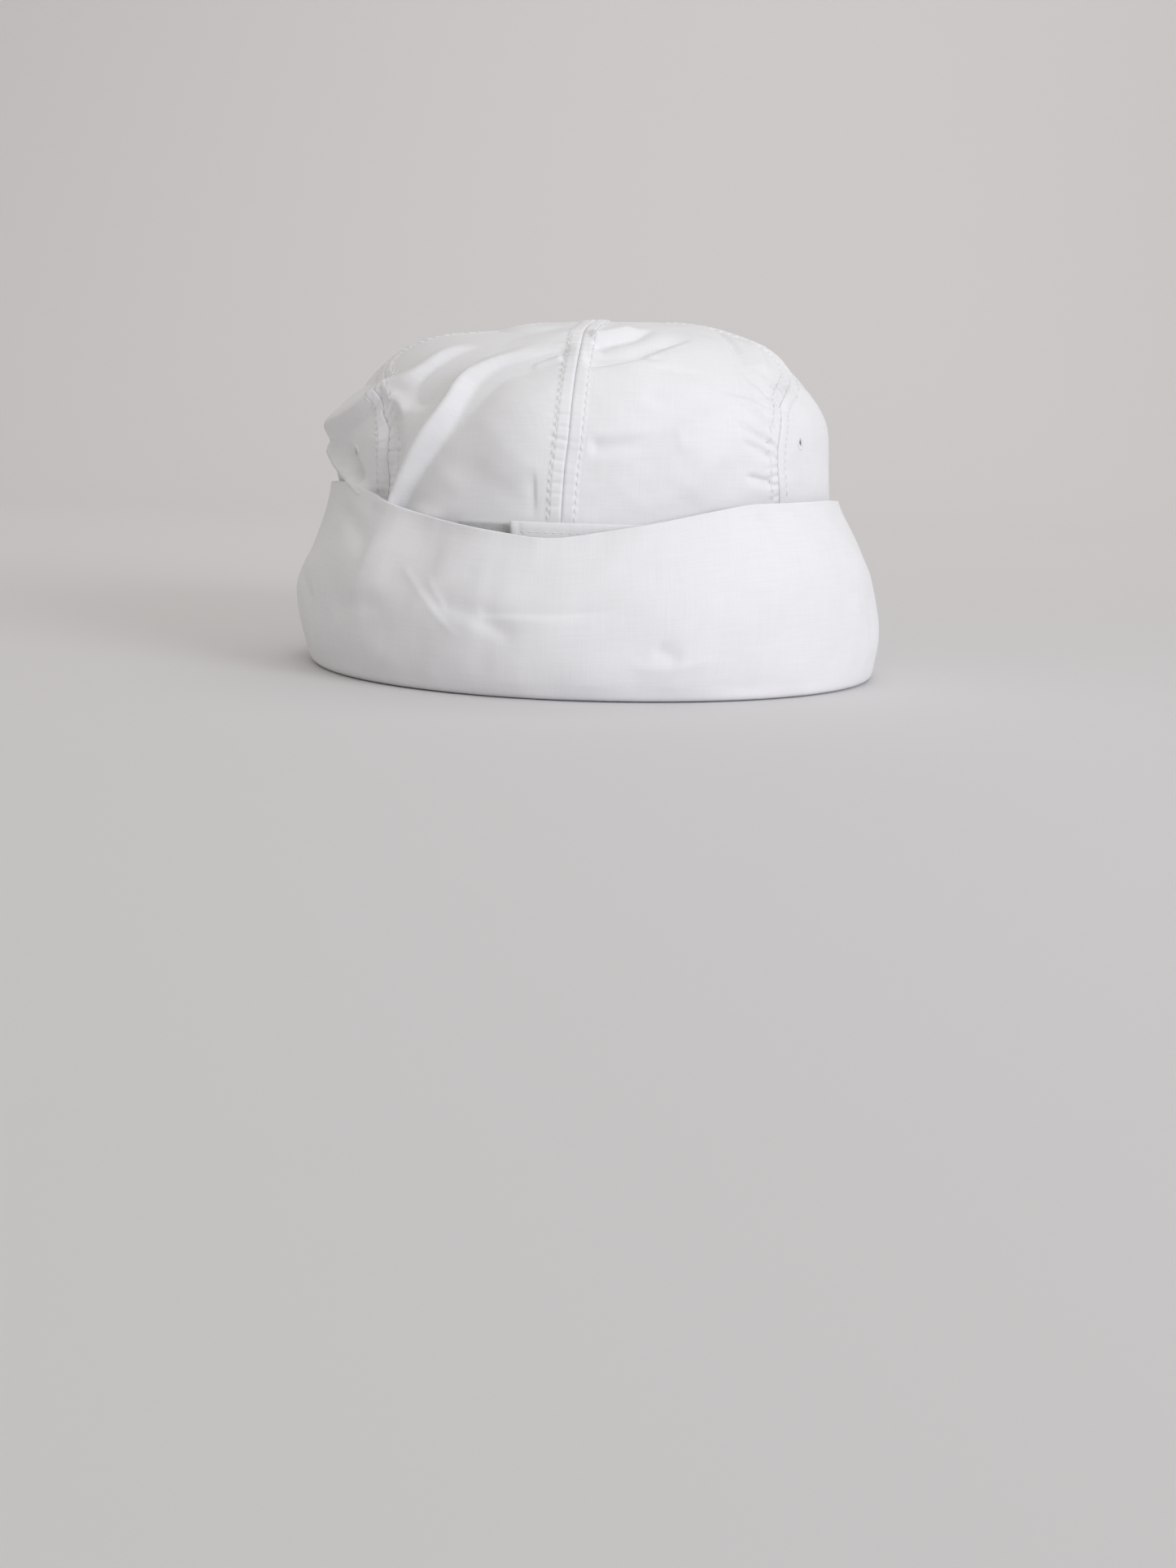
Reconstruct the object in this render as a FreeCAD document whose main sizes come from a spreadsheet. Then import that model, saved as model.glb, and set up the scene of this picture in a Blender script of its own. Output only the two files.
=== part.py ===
"""A brimless bump cap: a soft cloth cover with a turned-up cuff, a rear adjuster strap and a removable
protective insert.

The cap stands on the fold of its cuff at Z 0, with the middle of the head opening on the Z axis.  The rear
of the cap, where the adjuster strap is, faces -Y and the wearer looks along +Y.  Every dome-shaped layer is
turned about Z as a round form and then stretched along Y, which gives the oval plan of a head.
"""
import os

import FreeCAD
import Part
import Sketcher

VECTOR = FreeCAD.Vector
UP = VECTOR(0, 0, 1)
ALONG_X = VECTOR(1, 0, 0)

# Driving dimensions in millimetres and degrees: alias, value, what it is.
SIZES = [
    ("crown_half_width", 92.0, "half the width of the crown over its wall, before the stretch"),
    ("crown_half_depth", 102.0, "half the depth of the crown, front to back"),
    ("crown_height", 126.0, "top of the crown above the fold of the cuff"),
    ("shoulder_radius", 45.0, "radius where the crown wall turns over to the top"),
    ("shoulder_drop", 48.0, "how far the wall's end lies under the top of the crown"),
    ("cloth", 0.8, "one ply of cover cloth with its turnings"),
    ("sewn_gap", 0.15, "gap between plies that are sewn together"),
    ("slide_gap", 0.3, "gap between things that move past each other"),
    ("rear_panel_angle", 50.0, "share of the turn that each rear panel takes"),
    ("front_panel_angle", 60.0, "share of the turn that each front panel takes"),
    ("tape_width", 12.0, "width of a seam tape"),
    ("tape_thickness", 0.5, "thickness of a seam tape"),
    ("tape_start", 15.0, "how far from the top's middle the slanting tapes start"),
    ("band_height", 32.0, "height of the sweatband"),
    ("band_thickness", 3.0, "thickness of the sweatband"),
    ("cuff_height", 64.0, "top edge of the cuff above its fold"),
    ("cuff_foot_stand", 10.0, "how far the cuff stands off the crown at its fold"),
    ("cuff_top_stand", 6.6, "how far the cuff stands off the crown at its top edge"),
    ("cuff_roll_radius", 62.0, "radius of the cuff's outward swell"),
    ("strap_width", 25.0, "width of the adjuster strap"),
    ("strap_top", 60.5, "top edge of the adjuster strap"),
    ("strap_thickness", 1.4, "thickness of the doubled strap cloth"),
    ("strap_free_angle", 16.0, "angle from the rear seam to the strap's free end"),
    ("strap_sewn_angle", 32.0, "angle from the rear seam to the strap's sewn end"),
    ("strap_clearance", 0.6, "gap between the hooks and the loops under the strap"),
    ("fastener", 1.0, "thickness of hook tape and of loop tape"),
    ("fastener_width", 19.0, "width of the hook and loop tape under the strap"),
    ("hook_angle", 20.0, "angle that the strap's hook tape takes"),
    ("loop_angle", 52.0, "angle that the strap's loop tape takes"),
    ("dot_radius", 9.0, "radius of a round hook-and-loop dot"),
    ("dot_circle", 36.0, "radius of the circle of dots on top"),
    ("eyelet_radius", 2.6, "outer radius of an eyelet"),
    ("eyelet_barrel", 1.7, "outer radius of the eyelet's barrel"),
    ("eyelet_hole", 1.1, "radius of the eyelet's hole"),
    ("eyelet_rim", 0.5, "thickness of the eyelet's rim"),
    ("eyelet_height", 86.0, "height of the eyelets"),
    ("eyelet_angle", 5.7, "angle from the rear side seam to an eyelet"),
    ("shell_inset", 5.5, "how far the insert's wall lies inside the crown's outer face"),
    ("shell_thickness", 2.0, "thickness of the protective shell"),
    ("shell_foot", 42.0, "lower edge of the shell"),
    ("trim_thickness", 1.0, "thickness of the rubber channel on the shell's edge"),
    ("trim_height", 6.0, "height of the rubber channel"),
    ("pad_thickness", 5.0, "thickness of the foam pads"),
    ("crown_pad_radius", 38.0, "radius of the foam pad under the top"),
    ("side_pad_foot", 49.0, "lower edge of the four side pads"),
    ("side_pad_height", 22.0, "height of the four side pads"),
    ("side_pad_angle", 46.0, "angle that one side pad takes"),
    ("vent_width", 6.0, "width of a vent slot in the shell"),
    ("vent_inner", 48.0, "where a top vent starts, from the middle"),
    ("vent_outer", 70.0, "where a top vent ends, from the middle"),
    ("side_vent_radius", 4.0, "radius of the round vents in the shell's wall"),
    ("side_vent_height", 88.0, "height of the round vents"),
]

REAR = "-90"  # direction of the rear seam, in degrees from +X
SIDE_TURN = "(180 - rear_panel_angle - front_panel_angle)"
PANELS = {  # name: direction of its first seam, turn to its second one
    "crown_back_right": (REAR, "rear_panel_angle"),
    "crown_side_right": (f"{REAR} + rear_panel_angle", SIDE_TURN),
    "crown_front_right": (f"{REAR} + 180 - front_panel_angle", "front_panel_angle"),
    "crown_front_left": (f"{REAR} + 180", "front_panel_angle"),
    "crown_side_left": (f"{REAR} + 180 + front_panel_angle", SIDE_TURN),
    "crown_back_left": (f"{REAR} - rear_panel_angle", "rear_panel_angle"),
}
SLANTING_TAPES = {  # name: direction of its seam
    "seam_tape_back_right": f"{REAR} + rear_panel_angle",
    "seam_tape_front_right": f"{REAR} + 180 - front_panel_angle",
    "seam_tape_front_left": f"{REAR} + 180 + front_panel_angle",
    "seam_tape_back_left": f"{REAR} - rear_panel_angle",
}
EYELETS = {  # panel: its eyelet, the eyelet's direction
    "crown_side_right": ("eyelet_right", f"{REAR} + rear_panel_angle + eyelet_angle"),
    "crown_side_left": ("eyelet_left", f"{REAR} - rear_panel_angle - eyelet_angle"),
}
DOT_DIRECTIONS = [f"{REAR} + rear_panel_angle / 2", f"{REAR} - rear_panel_angle / 2",
                  f"{REAR} + 180 - front_panel_angle / 2", f"{REAR} + 180 + front_panel_angle / 2"]
SIDE_PADS = {"pad_right": 0.0, "pad_front": 90.0, "pad_left": 180.0, "pad_back": 270.0}
TOP_VENTS = 12
SIDE_VENTS = 16

doc = FreeCAD.newDocument("BumpCap")
sheet = doc.addObject("Spreadsheet::Sheet", "Sizes")
sub_parts = []


def fill_sheet():
    for row, (alias, value, meaning) in enumerate(SIZES, start=1):
        sheet.set(f"A{row}", str(value))
        sheet.setAlias(f"A{row}", alias)
        sheet.set(f"B{row}", meaning)
    doc.recompute()


def size(text):
    """A formula over the sheet's names, as the expression engine reads it."""
    words = sorted((alias for alias, _, _ in SIZES), key=len, reverse=True)
    out = text
    for number, alias in enumerate(words):
        out = out.replace(alias, f"@{number}@")
    for number, alias in enumerate(words):
        out = out.replace(f"@{number}@", f"Sizes.{alias}")
    return out


def number(text):
    """The same formula's value now."""
    found = sheet.evalExpression(size(text))
    return float(getattr(found, "Value", found))


def bind(thing, **formulas):
    """Ties properties to formulas over the sheet."""
    for name, formula in formulas.items():
        thing.setExpression(name, size(formula))
    return thing


def place(thing, x="0", y="0", z="0", turn="0", axis=UP):
    """Puts a thing at x, y, z, turned by turn degrees about the axis."""
    thing.Placement = FreeCAD.Placement(VECTOR(0, 0, 0), FreeCAD.Rotation(axis, number(turn)))
    for letter, formula in zip("xyz", (x, y, z)):
        thing.setExpression(f".Placement.Base.{letter}", size(formula))
    if turn != "0":
        thing.setExpression(".Placement.Rotation.Angle", f"({size(turn)}) * 1 deg")
    return thing


def make(kind, name, **values):
    thing = doc.addObject(kind, name)
    for key, value in values.items():
        setattr(thing, key, value)
    return thing


def common(name, base, tool):
    return make("Part::Common", name, Base=base, Tool=tool)


def cut(name, base, tool):
    return make("Part::Cut", name, Base=base, Tool=tool)


def join(name, *shapes):
    return make("Part::MultiFuse", name, Shapes=list(shapes))


def stretch(name, base):
    """A round form stretched along Y to the oval of a head."""
    piece = make("Part::Scale", name, Base=base, Uniform=False, XScale=1.0, ZScale=1.0)
    piece.setExpression("YScale", size("crown_half_depth / crown_half_width"))
    return piece


def oval(name, base):
    """The finished sub-part, as a stretched round form."""
    return finished(name, stretch(name, base))


def finished(name, piece):
    piece.Label = name
    sub_parts.append(piece)
    return piece


class Profile:
    """A sketch in the XZ plane of a body of its own, whose dimensions follow the sheet."""

    def __init__(self, name):
        self.body = doc.addObject("PartDesign::Body", name)
        self.sketch = self.body.newObject("Sketcher::SketchObject", name + "_profile")
        planes = {p.Role: p for p in self.body.Origin.OriginFeatures}
        self.sketch.AttachmentSupport = [(planes["XZ_Plane"], "")]
        self.sketch.MapMode = "FlatFace"

    def line(self, start, end):
        return self.sketch.addGeometry(Part.LineSegment(VECTOR(*start, 0), VECTOR(*end, 0)))

    def arc(self, centre, radius, first, last):
        circle = Part.Circle(VECTOR(*centre, 0), UP, radius)
        return self.sketch.addGeometry(Part.ArcOfCircle(circle, first, last))

    def rule(self, *parts):
        return self.sketch.addConstraint(Sketcher.Constraint(*parts))

    def measure(self, kind, *parts):
        """A dimension whose last argument is a formula."""
        *where, formula = parts
        index = self.rule(kind, *where, number(formula))
        self.sketch.setExpression(f"Constraints[{index}]", size(formula))

    def at(self, line, point, x=None, y=None):
        """Sets a point's distance from the middle and its height."""
        if x is not None:
            self.measure("DistanceX", -1, 1, line, point, x)
        if y is not None:
            self.measure("DistanceY", -1, 1, line, point, y)

    def turn(self):
        """Revolves the profile once about Z."""
        turned = self.body.newObject("PartDesign::Revolution", self.body.Name + "_turned")
        turned.Profile = self.sketch
        turned.ReferenceAxis = (self.sketch, ["V_Axis"])
        turned.Angle = 360.0
        self.sketch.Visibility = False
        doc.recompute()
        return self.body


START, END, CENTRE = 1, 2, 3
V_AXIS = -2


def dome(name, outer, inner, foot, lift="0"):
    """A dome-shaped layer that lies outer to inner millimetres inside the crown's outer face.

    Its side is an upright wall, then the shoulder arc, then one shallow arc over the top.
    """
    import math
    profile = Profile(name)
    centre_x = "crown_half_width - shoulder_radius"
    centre_y = f"crown_height - shoulder_drop + {lift}"
    shoulder = (number(centre_x), number(centre_y))
    bottom = number(foot)

    def side(depth):
        wall = number(f"crown_half_width - ({depth})")
        apex = number(f"crown_height + {lift} - ({depth})")
        small = wall - shoulder[0]
        rise = apex - shoulder[1]
        large = (shoulder[0] ** 2 + rise ** 2 - small ** 2) / (2 * (rise - small))
        start = math.atan2(shoulder[1] - (apex - large), shoulder[0])
        upright = profile.line((wall, bottom), (wall, shoulder[1]))
        turn_over = profile.arc(shoulder, small, 0.0, start)
        top = profile.arc((0.0, apex - large), large, start, math.pi / 2)
        profile.rule("Vertical", upright)
        profile.rule("Tangent", upright, END, turn_over, START)
        profile.rule("Tangent", turn_over, END, top, START)
        profile.rule("PointOnObject", top, END, V_AXIS)
        profile.rule("PointOnObject", top, CENTRE, V_AXIS)
        profile.at(upright, START, x=f"crown_half_width - ({depth})")
        profile.at(top, END, y=f"crown_height + {lift} - ({depth})")
        return upright, turn_over, top, wall, apex

    far = side(outer)
    near = side(inner)
    foot_line = profile.line((near[3], bottom), (far[3], bottom))
    axis_line = profile.line((0.0, near[4]), (0.0, far[4]))
    profile.rule("Horizontal", foot_line)
    profile.rule("Coincident", foot_line, START, near[0], START)
    profile.rule("Coincident", foot_line, END, far[0], START)
    profile.rule("Coincident", axis_line, START, near[2], END)
    profile.rule("Coincident", axis_line, END, far[2], END)
    profile.rule("Coincident", near[1], CENTRE, far[1], CENTRE)
    profile.at(far[1], CENTRE, x=centre_x, y=centre_y)
    profile.at(far[0], START, y=foot)
    return profile.turn()


def ring(name, outer, inner, foot, top):
    """A plain upright ring, from its outer and inner radius and its two heights."""
    profile = Profile(name)
    right, left, low, high = (number(f) for f in (outer, inner, foot, top))
    corners = [(left, low), (right, low), (right, high), (left, high)]
    lines = [profile.line(a, b) for a, b in zip(corners, corners[1:] + corners[:1])]
    for first, second in zip(lines, lines[1:] + lines[:1]):
        profile.rule("Coincident", first, END, second, START)
    for k, kind in enumerate(("Horizontal", "Vertical", "Horizontal", "Vertical")):
        profile.rule(kind, lines[k])
    profile.at(lines[0], START, x=inner, y=foot)
    profile.at(lines[2], START, x=outer, y=top)
    return profile.turn()


def wedge(name, first, turn, height="2 * crown_height", radius="2 * crown_half_width"):
    """A sector of a cylinder about Z, from the direction first on through turn degrees."""
    piece = bind(make("Part::Cylinder", name), Radius=radius, Height=height)
    piece.setExpression("Angle", f"({size(turn)}) * 1 deg")
    return place(piece, turn=first)


def post(name, distance, direction, radius):
    """An upright cylinder through the whole height, at a distance from Z in a direction."""
    piece = bind(make("Part::Cylinder", name), Radius=radius, Height="2 * crown_height")
    return place(piece, x=f"({distance}) * cos(({direction}) * 1 deg)",
                 y=f"({distance}) * sin(({direction}) * 1 deg)")


def spoke(name, direction, height, radius):
    """A level cylinder that runs out from Z in a direction, at a height."""
    piece = bind(make("Part::Cylinder", name), Radius=radius, Height="2 * crown_half_width")
    aim = FreeCAD.Rotation(UP, number(direction)).multVec(ALONG_X)
    piece.Placement = FreeCAD.Placement(VECTOR(0, 0, 0), FreeCAD.Rotation(UP, aim))
    piece.setExpression(".Placement.Base.z", size(height))
    return piece


def crown():
    """Six sewn panels.  The two side panels have an eyelet hole next to the rear side seam."""
    form = dome("crown_form", "0", "cloth", "cloth + sewn_gap")
    for name, (first, turn) in PANELS.items():
        sector = wedge(name + "_sector", first, turn)
        panel = common(name + "_cut", form, sector)
        if name in EYELETS:
            hole = spoke(name + "_hole", EYELETS[name][1], "eyelet_height", "eyelet_barrel + sewn_gap")
            panel = cut(name + "_pierced", panel, hole)
        oval(name, panel)


def eyelets():
    """Sewn eyelets: a barrel through the cloth with a rim on each face."""
    through = dome("eyelet_barrel_form", "0 - sewn_gap - eyelet_rim", "cloth + sewn_gap + eyelet_rim", "60")
    outside = dome("eyelet_outer_form", "0 - sewn_gap - eyelet_rim", "0 - sewn_gap", "60")
    inside = dome("eyelet_inner_form", "cloth + sewn_gap", "cloth + sewn_gap + eyelet_rim", "60")
    for name, direction in EYELETS.values():
        barrel = common(name + "_barrel", through, spoke(name + "_core", direction, "eyelet_height", "eyelet_barrel"))
        disc = spoke(name + "_disc", direction, "eyelet_height", "eyelet_radius")
        rims = [common(f"{name}_rim_{k}", form, disc) for k, form in enumerate((outside, inside))]
        hole = spoke(name + "_bore", direction, "eyelet_height", "eyelet_hole")
        oval(name, cut(name + "_pierced", join(name + "_whole", barrel, *rims), hole))


def seam_tapes():
    """Tapes over the raw seams inside: one from rear to front, and four that stop short of it."""
    form = dome("tape_form", "cloth + sewn_gap", "cloth + sewn_gap + tape_thickness",
                "cloth + sewn_gap + band_height + 4")
    reach = "4 * crown_half_width"
    whole = bind(make("Part::Box", "tape_slab"), Length="tape_width", Width=reach, Height="2 * crown_height")
    place(whole, x="0 - tape_width / 2", y="0 - 2 * crown_half_width")
    oval("seam_tape_centre", common("tape_centre_cut", form, whole))
    for name, direction in SLANTING_TAPES.items():
        slab = bind(make("Part::Box", name + "_slab"), Length="2 * crown_half_width",
                    Width="tape_width", Height="2 * crown_height")
        place(slab, turn=direction,
              x=f"tape_start * cos(({direction}) * 1 deg) + tape_width / 2 * sin(({direction}) * 1 deg)",
              y=f"tape_start * sin(({direction}) * 1 deg) - tape_width / 2 * cos(({direction}) * 1 deg)")
        oval(name, common(name + "_cut", form, slab))


def sweatband():
    """A folded band round the inside of the opening."""
    face = "crown_half_width - cloth - sewn_gap"
    foot = "cloth + sewn_gap + 2"
    oval("sweatband", ring("band_form", face, f"{face} - band_thickness", foot, f"{foot} + band_height"))


def cuff_profile(name, depth, flange):
    """One ply of the cuff, depth millimetres inside its outer face, which swells as an arc.

    The outer ply has a flange under the crown's edge, made a cloth's thickness too low, to be cut flat.
    """
    import math
    profile = Profile(name)
    foot = (number("crown_half_width + cuff_foot_stand"), 0.0)
    top = (number("crown_half_width + cuff_top_stand"), number("cuff_height"))
    radius = number("cuff_roll_radius")
    middle = ((foot[0] + top[0]) / 2, (foot[1] + top[1]) / 2)
    chord = math.hypot(top[0] - foot[0], top[1] - foot[1])
    away = math.sqrt(radius ** 2 - chord ** 2 / 4) / chord
    centre = (middle[0] - (top[1] - foot[1]) * away, middle[1] + (top[0] - foot[0]) * away)

    guide = profile.arc(centre, radius, math.atan2(foot[1] - centre[1], foot[0] - centre[0]),
                        math.atan2(top[1] - centre[1], top[0] - centre[0]))
    profile.at(guide, START, x="crown_half_width + cuff_foot_stand")
    profile.rule("PointOnObject", guide, START, -1)
    profile.at(guide, END, x="crown_half_width + cuff_top_stand", y="cuff_height")
    profile.measure("Radius", guide, "cuff_roll_radius")
    profile.sketch.toggleConstruction(guide)

    def side(inset, low):
        small = radius - number(inset)
        first = math.asin((number(low) - centre[1]) / small)
        last = math.asin((top[1] - centre[1]) / small)
        arc = profile.arc(centre, small, first, last)
        profile.rule("Coincident", arc, CENTRE, guide, CENTRE)
        profile.measure("Radius", arc, f"cuff_roll_radius - ({inset})")
        profile.at(arc, END, y="cuff_height")
        ends = [(centre[0] + small * math.cos(a), centre[1] + small * math.sin(a)) for a in (first, last)]
        return arc, ends

    inner_low = "cloth" if flange else "cloth + sewn_gap"
    outer_low = "0 - cloth" if flange else "cloth + sewn_gap"
    outer, outer_ends = side(depth, outer_low)
    inner, inner_ends = side(f"{depth} + cloth", inner_low)
    brim = profile.line(outer_ends[1], inner_ends[1])
    profile.rule("Coincident", brim, START, outer, END)
    profile.rule("Coincident", brim, END, inner, END)
    if not flange:
        sole = profile.line(inner_ends[0], outer_ends[0])
        profile.rule("Coincident", sole, START, inner, START)
        profile.rule("Coincident", sole, END, outer, START)
        profile.at(inner, START, y=inner_low)
        profile.at(outer, START, y=outer_low)
        return profile.turn()
    edge = number("crown_half_width - cloth")
    thick = number("cloth")
    corners = [inner_ends[0], (edge, thick), (edge, -thick), outer_ends[0]]
    under = [profile.line(a, b) for a, b in zip(corners, corners[1:])]
    for k, kind in enumerate(("Horizontal", "Vertical", "Horizontal")):
        profile.rule(kind, under[k])
    profile.rule("Coincident", under[0], START, inner, START)
    profile.rule("Coincident", under[0], END, under[1], START)
    profile.rule("Coincident", under[1], END, under[2], START)
    profile.rule("Coincident", under[2], END, outer, START)
    profile.at(under[0], END, x="crown_half_width - cloth", y="cloth")
    profile.at(outer, START, y=outer_low)
    return profile.turn()


def cuff():
    """The outer ply is cut level at the foot, which is the fold that the cap stands on."""
    outer_ply = stretch("cuff_face_oval", cuff_profile("cuff_face_form", "0", True))
    table = bind(make("Part::Box", "table"), Length="4 * crown_half_width", Width="4 * crown_half_depth",
                 Height="cuff_height")
    place(table, x="0 - 2 * crown_half_width", y="0 - 2 * crown_half_depth", z="0 - cuff_height")
    finished("cuff_face", cut("cuff_face_cut", outer_ply, table))
    oval("cuff_facing", cuff_profile("cuff_facing_form", "cloth + sewn_gap", False))


def strap():
    """The strap slides round the rear of the crown, on the circle that fits the crown's rear curve."""
    curve = "crown_half_width ^ 2 / crown_half_depth"
    axis_y = f"0 - (crown_half_depth - {curve})"
    seat = f"{curve} + sewn_gap + fastener + strap_clearance"
    foot = "strap_top - strap_width"
    tape_foot = "strap_top - strap_width / 2 - fastener_width / 2"

    def band(name, inner, thickness, low, high, first, turn):
        outside = wedge(name + "_outside", first, turn, height=f"{high} - ({low})", radius=f"{inner} + {thickness}")
        inside = wedge(name + "_inside", first, turn, height=f"{high} - ({low})", radius=inner)
        for piece in (outside, inside):
            piece.setExpression(".Placement.Base.y", size(axis_y))
            piece.setExpression(".Placement.Base.z", size(low))
        return finished(name, cut(name, outside, inside))

    hook_first = f"{REAR} - strap_free_angle + 1"
    band("strap_hook_tape", seat, "fastener", tape_foot, f"{tape_foot} + fastener_width", hook_first, "hook_angle")
    band("adjuster_strap", f"{seat} + fastener + sewn_gap", "strap_thickness", foot, "strap_top",
         f"{REAR} - strap_free_angle", "strap_free_angle + strap_sewn_angle")
    loops = ring("loop_tape_form", "crown_half_width + sewn_gap + fastener", "crown_half_width + sewn_gap",
                 tape_foot, f"{tape_foot} + fastener_width")
    sector = wedge("loop_tape_sector", f"{REAR} - loop_angle / 2", "loop_angle")
    oval("strap_loop_tape", common("loop_tape_cut", loops, sector))


def dots(name, outer, inner, lift="0"):
    """Four round fastener dots that follow the curve of the top."""
    form = dome(name + "_form", outer, inner, "shell_foot", lift)
    posts = [post(f"{name}_post_{k}", "dot_circle", direction, "dot_radius")
             for k, direction in enumerate(DOT_DIRECTIONS)]
    oval(name, common(name + "_cut", form, join(name + "_posts", *posts)))


def vent_slot(name, direction):
    """An upright slot with round ends, which runs out from Z in a direction."""
    bar = bind(make("Part::Box", name + "_bar"), Length="vent_outer - vent_inner", Width="vent_width",
               Height="2 * crown_height")
    place(bar, turn=direction,
          x=f"vent_inner * cos(({direction}) * 1 deg) + vent_width / 2 * sin(({direction}) * 1 deg)",
          y=f"vent_inner * sin(({direction}) * 1 deg) - vent_width / 2 * cos(({direction}) * 1 deg)")
    inner_end = post(name + "_inner_end", "vent_inner", direction, "vent_width / 2")
    outer_end = post(name + "_outer_end", "vent_outer", direction, "vent_width / 2")
    return join(name, bar, inner_end, outer_end)


def shell_vents():
    """Slots over the shoulder and a row of round holes in the side of the shell."""
    slots = [vent_slot(f"top_vent_{k}", f"({k} + 0.5) * 360 / {TOP_VENTS}") for k in range(TOP_VENTS)]
    holes = [spoke(f"side_vent_{k}", f"({k} + 0.5) * 360 / {SIDE_VENTS}", "side_vent_height", "side_vent_radius")
             for k in range(SIDE_VENTS)]
    return join("shell_vents", *slots, *holes)


def insert():
    """The protective shell with its rubber edge, its foam pads and the hook dots that hold it in the cover."""
    lift = "shell_inset - (cloth + 2 * sewn_gap + 2 * fastener + slide_gap)"
    inner = "shell_inset + shell_thickness"
    stretched = stretch("shell_oval", dome("shell_form", "shell_inset", inner, "shell_foot", lift))
    finished("protective_shell", cut("shell_vented", stretched, shell_vents()))

    trim = "trim_thickness"
    channel = ring("trim_form", f"crown_half_width - shell_inset + {trim}",
                   f"crown_half_width - ({inner}) - {trim}", f"shell_foot - sewn_gap - {trim}",
                   f"shell_foot - {trim} + trim_height")
    groove = ring("trim_groove", "crown_half_width - shell_inset + sewn_gap",
                  f"crown_half_width - ({inner}) - sewn_gap", "shell_foot - sewn_gap", "shell_foot + trim_height")
    oval("edge_trim", cut("trim_cut", channel, groove))

    foam = dome("pad_form", f"{inner} + sewn_gap", f"{inner} + sewn_gap + pad_thickness", "side_pad_foot", lift)
    oval("crown_pad", common("crown_pad_cut", foam, post("crown_pad_post", "0", "0", "crown_pad_radius")))
    for name, direction in SIDE_PADS.items():
        sector = wedge(name + "_sector", f"{direction} - side_pad_angle / 2", "side_pad_angle",
                       height="side_pad_foot + side_pad_height")
        oval(name, common(name + "_cut", foam, sector))

    face = "cloth + sewn_gap + fastener + slide_gap"
    dots("insert_hook_dots", face, f"{face} + fastener")


def check_and_write():
    """Stops on any failed object or open shape, then writes one STEP file for each sub-part."""
    doc.recompute()
    for thing in doc.Objects:
        if "Invalid" in thing.State or "Error" in thing.State:
            raise RuntimeError(f"{thing.Name} failed: {thing.State}")
    os.makedirs("parts", exist_ok=True)
    for piece in sub_parts:
        shape = piece.Shape
        if shape.isNull() or not shape.isValid() or shape.Volume <= 0:
            raise RuntimeError(f"{piece.Label} has no valid shape")
        shape.exportStep(os.path.join("parts", piece.Label + ".step"))
        box = shape.BoundBox
        print(f"{piece.Label:24s} {len(shape.Solids)} solids {shape.Volume:10.1f} mm3 "
              f"x {box.XMin:7.1f} {box.XMax:7.1f} y {box.YMin:7.1f} {box.YMax:7.1f} z {box.ZMin:6.1f} {box.ZMax:6.1f}")


fill_sheet()
crown()
eyelets()
seam_tapes()
sweatband()
cuff()
strap()
dots("cover_loop_dots", "cloth + sewn_gap", "cloth + sewn_gap + fastener")
insert()
check_and_write()
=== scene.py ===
"""The looks of a soft six-panel bump cap with a turned-up cuff and a removable protective insert."""
import math

import bmesh
import bpy
import numpy as np
from mathutils import Matrix, Vector


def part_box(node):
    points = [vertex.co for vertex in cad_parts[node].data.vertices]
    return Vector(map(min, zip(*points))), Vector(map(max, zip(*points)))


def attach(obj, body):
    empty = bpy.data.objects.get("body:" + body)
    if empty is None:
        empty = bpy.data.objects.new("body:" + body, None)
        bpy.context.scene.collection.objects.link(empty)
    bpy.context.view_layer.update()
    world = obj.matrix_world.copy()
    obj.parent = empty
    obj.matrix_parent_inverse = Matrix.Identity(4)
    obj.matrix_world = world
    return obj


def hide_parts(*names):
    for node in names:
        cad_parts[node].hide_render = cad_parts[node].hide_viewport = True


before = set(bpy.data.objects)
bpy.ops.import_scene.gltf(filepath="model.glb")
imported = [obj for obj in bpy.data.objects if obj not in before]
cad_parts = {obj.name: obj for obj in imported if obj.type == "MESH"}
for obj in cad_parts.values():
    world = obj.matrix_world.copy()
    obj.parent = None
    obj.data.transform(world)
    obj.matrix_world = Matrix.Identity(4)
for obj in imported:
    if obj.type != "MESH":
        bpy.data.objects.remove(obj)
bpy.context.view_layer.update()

MM = 0.001


# ---------------------------------------------------------------------------------------------------------
# The table, the light and the camera.  The cap stands on a pale seamless sweep of paper.  A soft window-like
# lamp stands at its right, a wider one hangs overhead, a third lights the backdrop, and a weak warm fill comes
# from all round.
def add_mesh(name, verts, faces):
    """A smooth-shaded object in the scene, from its points and faces."""
    mesh = bpy.data.meshes.new(name)
    mesh.from_pydata(verts, [], faces)
    mesh.polygons.foreach_set("use_smooth", [True] * len(mesh.polygons))
    obj = bpy.data.objects.new(name, mesh)
    bpy.context.scene.collection.objects.link(obj)
    return obj


def blank_finish(name, roughness):
    """A new material, with its nodes, its links and its shader."""
    material = bpy.data.materials.new(name)
    material.use_nodes = True
    nodes, links = material.node_tree.nodes, material.node_tree.links
    shader = nodes["Principled BSDF"]
    shader.inputs["Roughness"].default_value = roughness
    return material, nodes, links, shader


def sweep(name, half_width, near, far, height, bend):
    """A floor that curves up into a backdrop, as one sheet."""
    outline = [(near, 0.0)]
    for k in range(25):
        turn = math.pi / 2 * k / 24
        outline.append((far - bend + bend * math.sin(turn), bend - bend * math.cos(turn)))
    outline.append((far, height))
    verts = [(x, y, z) for y, z in outline for x in (-half_width, half_width)]
    faces = [(2 * k, 2 * k + 1, 2 * k + 3, 2 * k + 2) for k in range(len(outline) - 1)]
    return add_mesh(name, verts, faces)


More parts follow.
